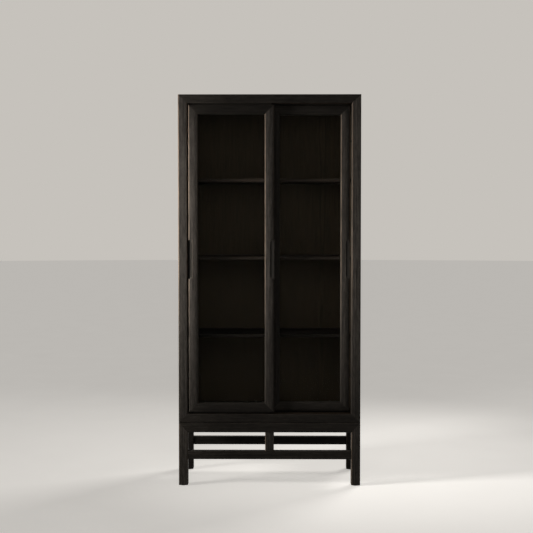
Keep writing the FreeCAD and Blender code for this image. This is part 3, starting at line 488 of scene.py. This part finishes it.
# Painted light and shade: boards painted lighter or darker than their fellows for how brightly each
# is lit, such as the front left leg lighter, the rear door's left stile darker in the front door's
# shadow, and the shelves darker from top to bottom
OWN_LIGHT_AND_SHADE = {
    "front_door_top_rail": 0.68, "front_door_bottom_rail": 0.85,
    "rear_door_top_rail": 0.85, "rear_door_bottom_rail": 1.15,
    "front_door_right_stile": 0.82, "rear_door_left_stile": 0.42, "rear_door_right_stile": 0.78,
    "case_front_bottom_rail": 1.1, "case_post_front_left": 0.98,
    "stand_front_rail": 1.1, "front_stretcher": 1.45,
    "leg_front_left": 1.6, "leg_front_right": 0.98,
    "upper_shelf": 1.9, "middle_shelf": 1.35, "lower_shelf": 0.52,
}
# Painted light and shade: how light a board's left or lower end is against the rest of it, for how
# the light falls there
END_LIGHT_AND_SHADE = {UPRIGHT: 1.0, LEVEL: 1.9, DEEP: 1.2}
# Boards whose ends take their own painted light and shade
OWN_END_LIGHT_AND_SHADE = {
    "case_post_front_left": 1.35, "leg_front_left": 1.3, "front_door_left_stile": 0.85,
    "rear_door_right_stile": 0.85, "case_post_front_right": 0.62,
    "upper_shelf": 0.85, "middle_shelf": 0.85, "lower_shelf": 0.85,
}
END_STOP = -0.4      # where an end's painted light and shade stops, as a share of the board's half length
# Stiles with a pull: whether it is on the left edge, how wide its painted shadow and its lamp-lit
# right strip are, and how much its painted-light floor, its rim and its painted shadow show
PULLS = {"front_door_left_stile": (True, 7 * MM, 4 * MM, 0.8, 0.12, 0.95),
         "front_door_right_stile": (False, 5.5 * MM, 9 * MM, 0.72, 0.0, 1.0),
         "rear_door_right_stile": (False, 6.5 * MM, 9 * MM, 0.65, 0.0, 1.0)}
FLAT_SWELL = 0.6      # how much of the planed swell is on the boards that aren't crowned
INSIDE_CONTRAST, SHELF_CONTRAST = 0.45, 0.15      # how strongly the grain shows there
SHELF_HUE = (1.0, 0.78, 0.77)      # the stain on the shelves is browner
PORE_ROUGHNESS = 0.25      # how much rougher a board is in its open pores
DRAW_STEPS = 0.569840, 0.618034, 0.754878      # spread what boards draw evenly over 0 to 1
HEART_SWING, HEART_NEAR, HEART_SPAN = radians(50), 0.16, 0.22      # where hearts lie
TRUNK_STEP = 1.7      # how far up the trunk the next board is cut
DARKEST, TONE_SPAN = 0.92, 0.16      # the tones that boards draw
BOARDS = []      # every board that has its own grain so far, so that no two are cut alike


def heart_of(node, way, hue):
    """Where the tree's heart lies from a board's middle, and the board's tone with its painted
    light and shade.
    """
    BOARDS.append(node)
    count = len(BOARDS)
    around, away, lighter = (count * step % 1.0 for step in DRAW_STEPS)
    around = HEART_SWING * (2.0 * around - 1.0) + pi * (count % 2)
    away = HEART_NEAR + HEART_SPAN * away
    # The board's random tone, times its own painted light and shade
    lighter = (DARKEST + TONE_SPAN * lighter) * OWN_LIGHT_AND_SHADE.get(node, 1.0)
    tone = tuple(lighter * part * browner for part, browner in zip(SHADE_BY_WAY[way], hue))
    return (away * cos(around), away * sin(around), TRUNK_STEP * count), tone


def stain_of(look):
    return {title: opaque(getattr(look, title.lower())) for title in ("Ground", "Ridge", "Pore")}


def oak(wood, node, way, look, rubbed=False, swells=1.0, contrast=1.0, hue=(1.0, 1.0, 1.0),
        outer=None):
    """Stained oak for one board, its grain running the given way.

    rubbed: whether it is planed and its edges are painted lighter, as rubbed wear and a
    painted highlight. swells: how much of the planed swell it shows. hue: tints the stain. outer:
    the settings of the stain on a panel's outer face, if it has one.
    """
    material, wire, place = new_material(f"{wood}_{node}")
    centre, turn, section, reach = board_frame(node, way)
    heart, tone = heart_of(node, way, hue)
    own = wire.add("ShaderNodeMapping", {"Vector": place, "Location": centre,
                                         "Rotation": turn}, vector_type="TEXTURE").outputs[0]
    # Painted light and shade along the board: its left or lower end painted lighter or darker as
    # the light falls there
    end = wire.ramp(wire.parts(own)[2], -reach, END_STOP * reach,
                    OWN_END_LIGHT_AND_SHADE.get(node, END_LIGHT_AND_SHADE[way]), 1.0)
    stain = stain_of(look)
    if outer is not None:
        axis, facing = OUTER_FACES[node]
        over = wire.times(wire.minus(wire.parts(place)[axis], centre[axis]), facing)
        outside = wire.ramp(over, -0.5 * MM, 0.5 * MM)
        stain = {title: wire.between(outside, stain[title], shown)
                 for title, shown in stain_of(outer).items()}
    grain = wire.add("ShaderNodeGroup", {
        "Place": wire.vectors("ADD", own, heart), "Contrast": contrast,
        "Tone": wire.scaled(tone, end), **stain}, node_tree=oak_grain())
    colours, height = grain.outputs["Color"], grain.outputs["Height"]
    roughness = wire.line(grain.outputs["Open"], PORE_ROUGHNESS, look.roughness)
    if rubbed:
        grain.inputs["Ring Width"].default_value = look.ring_width
        rub_and_highlight = wire.add("ShaderNodeGroup", {
            "Place": own, "Half Width": section[0], "Half Depth": section[1],
            "Reach": look.wear_reach, "Far Side": look.far_wear}, node_tree=edge_wear()).outputs
        shown = look.wear * OWN_WORN_AND_LIT_SHARES.get(node, WORN_AND_LIT_SHARES[way])
        # Edges painted toward the worn colour: rubbed wear, and a painted highlight strongest on
        # the left and upper edges
        colours = wire.between(wire.times(rub_and_highlight["Wear"], shown), colours, opaque(look.worn))
        roughness = wire.line(rub_and_highlight["Wear"], look.edge_roughness - look.roughness, roughness)
        height = wire.line(rub_and_highlight["Planed"], swells * look.swell / look.relief, height)
    if node in PULLS:
        colours = add_pull_marks(wire, own, node, section, look, colours)
    finish_surface(wire, coating(wire, height, look.relief, {
        "Base Color": colours, "Roughness": roughness, "Specular IOR Level": look.shine,
        "IOR": 1.5}))
    return material


def add_pull_marks(wire, own, node, section, look, colours):
    """Lays the painted light and shade of a finger pull over a stile's colours."""
    at_left, shadow_width, lit_strip_width, *shares = PULLS[node]
    width, depth = section
    left = -width if at_left else width - look.pull_width
    marks = wire.add("ShaderNodeGroup", {
        "Place": own, "Face": -depth, "Left": left, "Right": left + look.pull_width,
        "Half Height": look.pull_height / 2, "Grime Width": shadow_width,
        "Bare Width": lit_strip_width}, node_tree=pull_marks())
    for title, shown, painted_marks in zip(("Floor", "Rim", "Grime"), shares,
                                         (look.polished, look.worn, look.grime)):
        colours = wire.between(wire.times(marks.outputs[title], shown), colours,
                               opaque(painted_marks))
    return colours


def speckled(name, base, grain, amount, roughness, relief, metallic=0.0, shine=0.5):
    """Turned metal, rubber, felt or hard plastic."""
    material, wire, place = new_material(name)
    speck = wire.add("ShaderNodeGroup", {"Place": place, "Grain": grain, "Amount": amount,
                                         "Base": opaque(base)}, node_tree=surface_speckle())
    height = speck.outputs["Height"]
    finish_surface(wire, coating(wire, height, relief, {
        "Base Color": speck.outputs["Color"], "Roughness": wire.line(height, 0.2, roughness - 0.1),
        "Metallic": metallic, "Specular IOR Level": shine}))
    return material


def clear_glass(name, look):
    """A clear pane with slow waves, through which lamps light what is behind it."""
    material, wire, place = new_material(name)
    pane = coating(wire, wire.drawn_out(place, 0.5, 7.0, 1.0), look.wave, {
        "Base Color": opaque(look.tint), "Roughness": 0.0, "Transmission Weight": 1.0,
        "IOR": look.bending, "Specular Tint": opaque([look.shine] * 3)})
    open_way = wire.add("ShaderNodeBsdfTransparent", {"Color": opaque(look.tint)})
    path = wire.add("ShaderNodeLightPath")
    both = wire.add("ShaderNodeMixShader", {0: path.outputs["Is Shadow Ray"], 1: pane,
                                            2: open_way.outputs[0]})
    finish_surface(wire, both.outputs[0])
    return material


def dress(node, material):
    """Gives one CAD node its material."""
    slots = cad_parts[node].material_slots
    if not slots:
        raise RuntimeError(f"{node} has no material slot")
    for slot in slots:
        slot.material = material


def finish(boards, wood, look, **more):
    """Gives each board its own oak."""
    for node, way in boards.items():
        dress(node, oak(wood, node, way, look, **more))


def put_in_scene(name, data):
    made = bpy.data.objects.new(name, data)
    bpy.context.scene.collection.objects.link(made)
    return made


# ---------------- fittings by Geometry Nodes

SAME_POINT = 1e-6      # points nearer than this are one
SHARP = radians(32)      # edges that turn more than this stay sharp


def solids_of(node):
    """The lowest and highest corner of each separate solid in a CAD node."""
    shape = bmesh.new()
    shape.from_mesh(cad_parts[node].data)
    bmesh.ops.remove_doubles(shape, verts=shape.verts, dist=SAME_POINT)
    left, found = set(shape.verts), []
    while left:
        reached = [left.pop()]
        for vert in reached:
            for edge in vert.link_edges:
                other = edge.other_vert(vert)
                if other in left:
                    left.discard(other)
                    reached.append(other)
        found.append((Vector(min(v.co[i] for v in reached) for i in range(3)),
                      Vector(max(v.co[i] for v in reached) for i in range(3))))
    shape.free()
    return sorted(found, key=lambda box: tuple(round(c, 5) for c in box[0]))


def turned(wire, sides, rings):
    """A closed shape turned about Z. rings are (rise, radius) pairs from its foot upwards."""
    radius = rings[0][1]
    foot = wire.add("GeometryNodeMeshCircle", {"Vertices": sides, "Radius": radius},
                    fill_type="NGON").outputs["Mesh"]
    shape, top = foot, True
    for rise, wider in rings[1:]:
        step = wire.add("GeometryNodeExtrudeMesh", {
            "Mesh": shape, "Selection": top, "Offset": (0.0, 0.0, 1.0), "Offset Scale": rise,
            "Individual": False}, mode="FACES")
        top = step.outputs["Top"]
        shape = wire.add("GeometryNodeScaleElements", {
            "Geometry": step.outputs["Mesh"], "Selection": top,
            "Scale": wire.maths("DIVIDE", wider, radius)}, domain="FACE").outputs["Geometry"]
        radius = wider
    both = wire.add("GeometryNodeJoinGeometry")
    for piece in (shape, foot):
        wire.link(piece, both.inputs[0])
    return wire.add("GeometryNodeMergeByDistance", {
        "Geometry": both.outputs[0], "Distance": SAME_POINT}).outputs[0]


def less(wire, shape, cutter, height):
    """The shape less a cutter that is centred at this height."""
    centre = wire.add("ShaderNodeCombineXYZ", {"Z": height}).outputs[0]
    moved = wire.add("GeometryNodeTransform", {"Geometry": cutter, "Translation": centre})
    made = wire.add("GeometryNodeMeshBoolean", {"Mesh 1": shape}, operation="DIFFERENCE",
                    solver="EXACT")
    wire.link(moved.outputs[0], made.inputs["Mesh 2"])
    return made.outputs["Mesh"]


def spread_out(wire, given, result, shape, material):
    """Puts the shape at every place, facing as the place says, each at its own turn."""
    facing = wire.add("GeometryNodeInputNamedAttribute", {"Name": "facing"},
                      data_type="FLOAT_VECTOR").outputs[0]
    aligned = wire.add("FunctionNodeAlignRotationToVector", {"Vector": facing},
                       axis="Z").outputs[0]
    turn = wire.add("FunctionNodeRandomValue", {"Seed": given["Seed"]}, data_type="FLOAT")
    most = next(s for s in turn.inputs if s.name == "Max" and s.type == "VALUE")
    most.default_value = pi
    angle = next(s for s in turn.outputs if s.type == "VALUE")
    spin = wire.add("FunctionNodeAxisAngleToRotation", {"Axis": (0.0, 0.0, 1.0),
                                                        "Angle": angle}).outputs[0]
    both = wire.add("FunctionNodeRotateRotation", {"Rotation": aligned, "Rotate By": spin},
                    rotation_space="LOCAL").outputs[0]
    placed = wire.add("GeometryNodeInstanceOnPoints", {
        "Points": given["Places"], "Instance": shape, "Rotation": both}).outputs[0]
    real = wire.add("GeometryNodeRealizeInstances", {"Geometry": placed}).outputs[0]
    named = wire.add("GeometryNodeSetMaterial", {"Geometry": real, "Material": material})
    wire.link(named.outputs[0], result["Fittings"])


def make_fittings(name, places, tree, values, body, slot, *nodes):
    """Runs a fitting tree over places, (point, facing) pairs, and makes one plain mesh of it."""
    mesh = bpy.data.meshes.new(name + "_places")
    mesh.from_pydata([point for point, _ in places], [], [])
    facing = mesh.attributes.new("facing", "FLOAT_VECTOR", "POINT")
    for item, (_, way) in zip(facing.data, places):
        item.vector = way
    piece = put_in_scene(name, mesh)
    modifier = piece.modifiers.new("Fittings", "NODES")
    modifier.node_group = tree
    for item in tree.interface.items_tree:
        if item.item_type == "SOCKET" and item.in_out == "INPUT" and item.name in values:
            modifier[item.identifier] = values[item.name]
    bpy.context.view_layer.update()
    seen = piece.evaluated_get(bpy.context.evaluated_depsgraph_get())
    made = bpy.data.meshes.new_from_object(seen)
    piece.modifiers.remove(modifier)
    piece.data = made
    made.name = name
    bpy.data.meshes.remove(mesh)
    if not made.polygons:
        raise RuntimeError(f"{name} came out empty")
    shape = bmesh.new()
    shape.from_mesh(made)
    bmesh.ops.remove_doubles(shape, verts=shape.verts, dist=SAME_POINT)
    bmesh.ops.recalc_face_normals(shape, faces=shape.faces)
    shape.to_mesh(made)
    shape.free()
    made.shade_smooth()
    made.set_sharp_from_angle(angle=SHARP)
    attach(piece, body)
    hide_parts(*nodes)
    return piece


# ---------------- operators that finish boards

class CabinetStep:
    """What the operators share: they can be undone, and they read the scene's settings."""
    bl_options = {"REGISTER", "UNDO"}

    def execute(self, context):
        self.work(context.scene)
        return {"FINISHED"}


class CABINET_OT_finish_stand(CabinetStep, Operator):
    """Stains the legs, rails, stretchers and struts of the stand"""
    bl_idname = "cabinet.finish_stand"
    bl_label = "Finish the stand"

    def work(self, scene):
        finish(STAND, "black_oak", scene.cabinet_frame_oak, rubbed=True, swells=FLAT_SWELL)


class CABINET_OT_finish_case_frame(CabinetStep, Operator):
    """Stains the posts and rails of the case"""
    bl_idname = "cabinet.finish_case_frame"
    bl_label = "Finish the case's frame"

    def work(self, scene):
        finish(CASE_FRAME, "black_oak", scene.cabinet_frame_oak, rubbed=True,
               swells=FLAT_SWELL)


class CABINET_OT_finish_panels(CabinetStep, Operator):
    """Stains the sides, back, deck and top of the case"""
    bl_idname = "cabinet.finish_panels"
    bl_label = "Finish the panels"

    def work(self, scene):
        finish(PANELS, "inside_oak", scene.cabinet_inside_oak, contrast=INSIDE_CONTRAST,
               outer=scene.cabinet_frame_oak)


class CABINET_OT_finish_shelves(CabinetStep, Operator):
    """Stains the three loose shelves"""
    bl_idname = "cabinet.finish_shelves"
    bl_label = "Finish the shelves"

    def work(self, scene):
        finish(SHELVES, "shelf_oak", scene.cabinet_frame_oak, contrast=SHELF_CONTRAST,
               hue=SHELF_HUE)


class CABINET_OT_finish_tracks(CabinetStep, Operator):
    """Stains the grooved tracks, and waxes the hard strips that run in them"""
    bl_idname = "cabinet.finish_tracks"
    bl_label = "Finish the tracks and runners"

    def work(self, scene):
        finish(TRACKS, "inside_oak", scene.cabinet_inside_oak, contrast=INSIDE_CONTRAST)
        waxed = speckled("waxed_runner", scene.cabinet_fittings.runner, grain=900.0,
                         amount=0.25, roughness=0.55, relief=0.03 * MM, shine=0.1)
        for door in DOORS:
            for runner in RUNNERS:
                dress(f"{door}_{runner}", waxed)


class CABINET_OT_finish_doors(CabinetStep, Operator):
    """Stains the stiles, rails and glazing beads of both doors"""
    bl_idname = "cabinet.finish_doors"
    bl_label = "Finish the doors"

    def work(self, scene):
        look = scene.cabinet_frame_oak
        for door in DOORS:
            members = {f"{door}_{member}": way for member, way in DOOR_MEMBERS.items()}
            finish(members, "black_oak", look, rubbed=True)
            finish({door + "_glazing_beads": UPRIGHT}, "black_oak", look)


class CABINET_OT_glaze_doors(CabinetStep, Operator):
    """Makes both panes clear"""
    bl_idname = "cabinet.glaze_doors"
    bl_label = "Glaze the doors"

    def work(self, scene):
        pane = clear_glass("clear_glass", scene.cabinet_glass)
        for door in DOORS:
            dress(door + "_glass", pane)


# ---------------- operators that make fittings

class FittingStep(CabinetStep):
    """What the operators that make fittings share.

    Each names the CAD node that it replaces, its tree, its piece and its slot, and says where a
    solid's fitting stands and faces (place), its sizes, its shape and its material.
    """
    slot = "metal"
    finer = 1      # how many times as many sides it has as the settings say

    def work(self, scene):
        look = scene.cabinet_fittings
        solids = solids_of(self.node)
        lowest, highest = solids[0]
        sizes = {**self.sizes(highest - lowest, look), "Chamfer": look.chamfer}
        wire, given, result = new_group(self.tree, "GeometryNodeTree", [
            ("Places", "Geometry"), ("Seed", "Int", 1), ("Sides", "Int", 24),
            *((title, "Float", value) for title, value in sizes.items()),
        ], [("Fittings", "Geometry")])
        shape = self.shape(wire, given["Sides"], *(given[title] for title in sizes))
        spread_out(wire, given, result, shape, self.material(look))
        make_fittings(self.piece, [self.place(low, high, (low + high) / 2)
                                   for low, high in solids], wire.tree,
                      {"Sides": self.finer * look.sides}, "case", self.slot, self.node)

    def headed(self, head_radius, whole, head_height, shank_radius):
        return {"Head Radius": head_radius, "Head Height": head_height,
                "Shank Radius": shank_radius, "Shank Length": whole - head_height}

    def material(self, look):
        name = "blackened_steel"
        return bpy.data.materials.get(name) or speckled(
            name, look.metal, grain=2600.0, amount=0.3, roughness=0.42, relief=0.02 * MM,
            metallic=1.0)


class CABINET_OT_make_shelf_studs(FittingStep, Operator):
    """Makes the turned studs that carry the shelves"""
    bl_idname = "cabinet.make_shelf_studs"
    bl_label = "Make the shelf studs"
    node, tree, piece = "shelf_studs", "shelf_stud", "turned_shelf_studs"

    def place(self, low, high, middle):
        side = -1.0 if low.x < 0 else 1.0          # the wall that the stud is in
        return (high.x if side < 0 else low.x, middle.y, middle.z), (side, 0.0, 0.0)

    def sizes(self, size, look):
        return {"Head Radius": size.z / 2, "Head Length": look.stud_head,
                "Peg Radius": look.stud_peg, "Peg Length": size.x - look.stud_head}

    def shape(self, wire, sides, head, head_length, peg, peg_length, chamfer):
        waist = wire.minus(head, chamfer)
        shank = wire.minus(head_length, wire.times(chamfer, 5.0))
        return turned(wire, sides, [
            (0.0, waist), (chamfer, head), (chamfer, head), (wire.times(chamfer, 2.0), waist),
            (shank, waist), (chamfer, head), (0.0, peg),
            (peg_length, wire.minus(peg, chamfer))])


class CABINET_OT_make_back_screws(FittingStep, Operator):
    """Makes the cross-headed screws that hold the back"""
    bl_idname = "cabinet.make_back_screws"
    bl_label = "Make the back screws"
    node, tree, piece = "back_panel_screws", "cross_head_screw", "cross_head_back_screws"

    def place(self, low, high, middle):
        return (middle.x, low.y, middle.z), (0.0, 1.0, 0.0)

    def sizes(self, size, look):
        return self.headed(size.x / 2, size.y, look.screw_head, look.screw_shank)

    def shape(self, wire, sides, head, head_height, shank, shank_length, chamfer):
        point = wire.times(chamfer, 4.0)
        shape = turned(wire, sides, [
            (0.0, wire.times(shank, 0.4)), (point, shank),
            (wire.minus(shank_length, point), shank), (0.0, head),
            (wire.minus(head_height, wire.times(chamfer, 2.0)), head),
            (chamfer, wire.minus(head, chamfer)), (chamfer, wire.times(head, 0.78))])
        whole = wire.plus(shank_length, head_height)
        long_side, short_side = (wire.times(head, part) for part in (1.15, 0.24))
        for first, second in ((long_side, short_side), (short_side, long_side)):
            size = wire.add("ShaderNodeCombineXYZ", {
                "X": first, "Y": second, "Z": wire.times(chamfer, 5.0)}).outputs[0]
            bar = wire.add("GeometryNodeMeshCube", {"Size": size}).outputs["Mesh"]
            shape = less(wire, shape, bar, whole)
        return shape


class CABINET_OT_make_stand_bolts(FittingStep, Operator):
    """Makes the socket-headed bolts that join the case and the stand"""
    bl_idname = "cabinet.make_stand_bolts"
    bl_label = "Make the stand bolts"
    node, tree, piece = "case_to_stand_bolts", "socket_bolt", "socket_stand_bolts"

    def place(self, low, high, middle):
        return (middle.x, middle.y, high.z), (0.0, 0.0, -1.0)

    def sizes(self, size, look):
        return {**self.headed(size.x / 2, size.z, look.bolt_head, look.bolt_shank),
                "Socket Radius": look.bolt_socket}

    def shape(self, wire, sides, head, head_height, shank, shank_length, socket, chamfer):
        shape = turned(wire, sides, [
            (0.0, wire.minus(shank, chamfer)), (chamfer, shank),
            (wire.minus(shank_length, chamfer), shank), (0.0, head),
            (wire.minus(head_height, chamfer), head), (chamfer, wire.minus(head, chamfer))])
        cutter = wire.add("GeometryNodeMeshCylinder", {
            "Vertices": 6, "Radius": socket, "Depth": head_height}).outputs["Mesh"]
        return less(wire, shape, cutter, wire.plus(shank_length, head_height))


class CABINET_OT_make_foot_glides(FittingStep, Operator):
    """Makes the felt pads under the four legs"""
    bl_idname = "cabinet.make_foot_glides"
    bl_label = "Make the foot glides"
    node, tree, piece, slot = "foot_glides", "foot_glide", "felt_foot_glides", "glide"
    finer = 2

    def place(self, low, high, middle):
        return (middle.x, middle.y, low.z), (0.0, 0.0, 1.0)

    def sizes(self, size, look):
        return {"Radius": size.x / 2, "Thickness": size.z}

    def shape(self, wire, sides, radius, thickness, chamfer):
        return turned(wire, sides, [
            (0.0, wire.minus(radius, chamfer)), (chamfer, radius),
            (wire.minus(thickness, chamfer), radius)])

    def material(self, look):
        return speckled("pressed_felt", look.felt, grain=1400.0, amount=0.5, roughness=0.95,
                        relief=0.3 * MM, shine=0.1)


class CABINET_OT_make_door_bumpers(FittingStep, Operator):
    """Makes the soft domed buttons that stop the doors"""
    bl_idname = "cabinet.make_door_bumpers"
    bl_label = "Make the door bumpers"
    node, tree, piece, slot = "door_bumpers", "door_bumper", "domed_door_bumpers", "bumper"
    # The dome, as shares of its height and radius
    dome = ((0.0, 1.0), (0.4, 1.0), (0.25, 0.93), (0.2, 0.76), (0.1, 0.5), (0.05, 0.2))

    def place(self, low, high, middle):
        side = 1.0 if low.x < 0 else -1.0            # the way that the button faces
        return (low.x if side > 0 else high.x, middle.y, middle.z), (side, 0.0, 0.0)

    def sizes(self, size, look):
        return {"Radius": size.z / 2, "Height": size.x}

    def shape(self, wire, sides, radius, height, _):
        return turned(wire, sides, [(wire.times(height, rise), wire.times(radius, part))
                                    for rise, part in self.dome])

    def material(self, look):
        return speckled("soft_rubber", look.rubber, grain=1800.0, amount=0.2, roughness=0.6,
                        relief=0.02 * MM, shine=0.4)


# ---------------- stage

# Where each lamp hangs, and what it points at
WINDOW_LIGHT = (0.05, -2.7, 2.25), (0.0, -0.2, 1.4)
SIDE_LAMP = (-2.2, -0.95, 1.6), (0.0, -0.2, 1.35)
REAR_LAMP = (2.1, 2.4, 3.2), (0.0, 0.1, 1.3)
SIDE_SIZE, SIDE_SPREAD = (0.6, 1.2), radians(62)
REAR_SIZE, REAR_SPREAD = (1.6, 1.6), radians(100)
FILL_COLOUR = (1.0, 0.98, 0.95, 1.0)
FLOOR_REACH = 40.0      # radius of the floor


class CABINET_OT_set_stage(CabinetStep, Operator):
    """Sets the plain floor, the even background, the lamps and the camera"""
    bl_idname = "cabinet.set_stage"
    bl_label = "Set the stage"

    def work(self, scene):
        look = scene.cabinet_stage
        self.lay_floor(look)
        self.light_room(scene, look)
        self.hang("window_light", look.window, [look.window_size] * 2, *WINDOW_LIGHT)
        self.hang("side_lamp", look.side, SIDE_SIZE, *SIDE_LAMP, SIDE_SPREAD)
        self.hang("rear_lamp", look.rear, REAR_SIZE, *REAR_LAMP, REAR_SPREAD)
        data = bpy.data.cameras.new("front_camera")
        data.sensor_width, data.lens = 36.0, look.lens
        data.clip_start, data.clip_end = 0.05, 200.0
        camera = put_in_scene("front_camera", data)
        camera.location = look.camera_place
        camera.rotation_euler = (pi / 2 - look.aim_down, 0.0, look.aim_left)
        scene.camera = camera
        scene.view_settings.view_transform = "Standard"

    def lay_floor(self, look):
        mesh = bpy.data.meshes.new("plain_floor")
        shape = bmesh.new()
        bmesh.ops.create_circle(shape, cap_ends=True, segments=96, radius=FLOOR_REACH)
        shape.to_mesh(mesh)
        shape.free()
        material, wire, place = new_material("plain_floor")
        soft = wire.noise(place, 3.0, 4.0, 0.6)
        tone = wire.scaled(tuple(look.floor), wire.line(soft, 0.06, 0.97))
        path = wire.add("ShaderNodeLightPath").outputs
        dimmed = wire.scaled(tone, wire.line(path["Is Diffuse Ray"], look.bounce - 1.0, 1.0))
        matte = wire.add("ShaderNodeBsdfDiffuse", {"Color": dimmed})
        glow = wire.add("ShaderNodeEmission", {
            "Color": tone, "Strength": wire.times(self.seen(wire), look.glow)})
        both = wire.add("ShaderNodeAddShader", {0: matte.outputs[0], 1: glow.outputs[0]})
        finish_surface(wire, both.outputs[0])
        mesh.materials.append(material)
        floor = put_in_scene("plain_floor", mesh)

    def light_room(self, scene, look):
        world = bpy.data.worlds.new("plain_room")
        scene.world = world
        world.use_nodes = True
        world.node_tree.nodes.clear()
        wire = Wiring(world.node_tree)
        lit = wire.add("ShaderNodeBackground", {"Color": FILL_COLOUR, "Strength": look.fill})
        shown = wire.add("ShaderNodeBackground", {"Color": opaque(look.room),
                                                  "Strength": 1.0})
        both = wire.add("ShaderNodeMixShader", {0: self.seen(wire), 1: lit.outputs[0],
                                                2: shown.outputs[0]})
        wire.add("ShaderNodeOutputWorld", {"Surface": both.outputs[0]})

    def seen(self, wire):
        """1 where the camera, a reflection or a pane looks, and 0 where light is counted."""
        path = wire.add("ShaderNodeLightPath").outputs
        return wire.maths("MAXIMUM", wire.maths("MAXIMUM", path["Is Camera Ray"],
                                                path["Is Glossy Ray"]),
                          path["Is Transmission Ray"])

    def hang(self, name, power, size, place, target, spread=pi):
        """Hangs a lamp that lights the cabinet but is never seen itself."""
        data = bpy.data.lights.new(name, "AREA")
        data.shape, data.energy, data.spread = "RECTANGLE", power, spread
        data.size, data.size_y = size
        lamp = put_in_scene(name, data)
        lamp.location = place
        lamp.visible_camera = lamp.visible_glossy = lamp.visible_transmission = False
        lamp.rotation_euler = (Vector(target) - Vector(place)).to_track_quat("-Z", "Y").to_euler()


# ---------------- add-on

STEPS = (
    CABINET_OT_finish_stand, CABINET_OT_finish_case_frame, CABINET_OT_finish_panels,
    CABINET_OT_finish_shelves, CABINET_OT_finish_tracks, CABINET_OT_finish_doors,
    CABINET_OT_glaze_doors, CABINET_OT_make_shelf_studs, CABINET_OT_make_back_screws,
    CABINET_OT_make_stand_bolts, CABINET_OT_make_foot_glides, CABINET_OT_make_door_bumpers,
    CABINET_OT_set_stage,
)


class CABINET_PT_steps(bpy.types.Panel):
    """Lists the cabinet's steps and settings"""
    bl_idname = "CABINET_PT_steps"
    bl_label = "Kitchen cabinet"
    bl_space_type = "VIEW_3D"
    bl_region_type = "UI"
    bl_category = "Cabinet"

    def draw(self, context):
        for step in STEPS:
            self.layout.operator(step.bl_idname)
        for name, group in SETTINGS.items():
            box = self.layout.box()
            box.label(text=name.replace("_", " "))
            for title in group.__annotations__:
                box.prop(getattr(context.scene, name), title)


CLASSES = (*SETTINGS.values(), *STEPS, CABINET_PT_steps)


def register():
    for made in CLASSES:
        bpy.utils.register_class(made)
    for name, group in SETTINGS.items():
        setattr(bpy.types.Scene, name, PointerProperty(type=group))


def unregister():
    for name in SETTINGS:
        delattr(bpy.types.Scene, name)
    for made in reversed(CLASSES):
        bpy.utils.unregister_class(made)


def main():
    register()
    for step in STEPS:
        area, name = step.bl_idname.split(".")
        getattr(getattr(bpy.ops, area), name)()


if __name__ == "__main__":
    main()
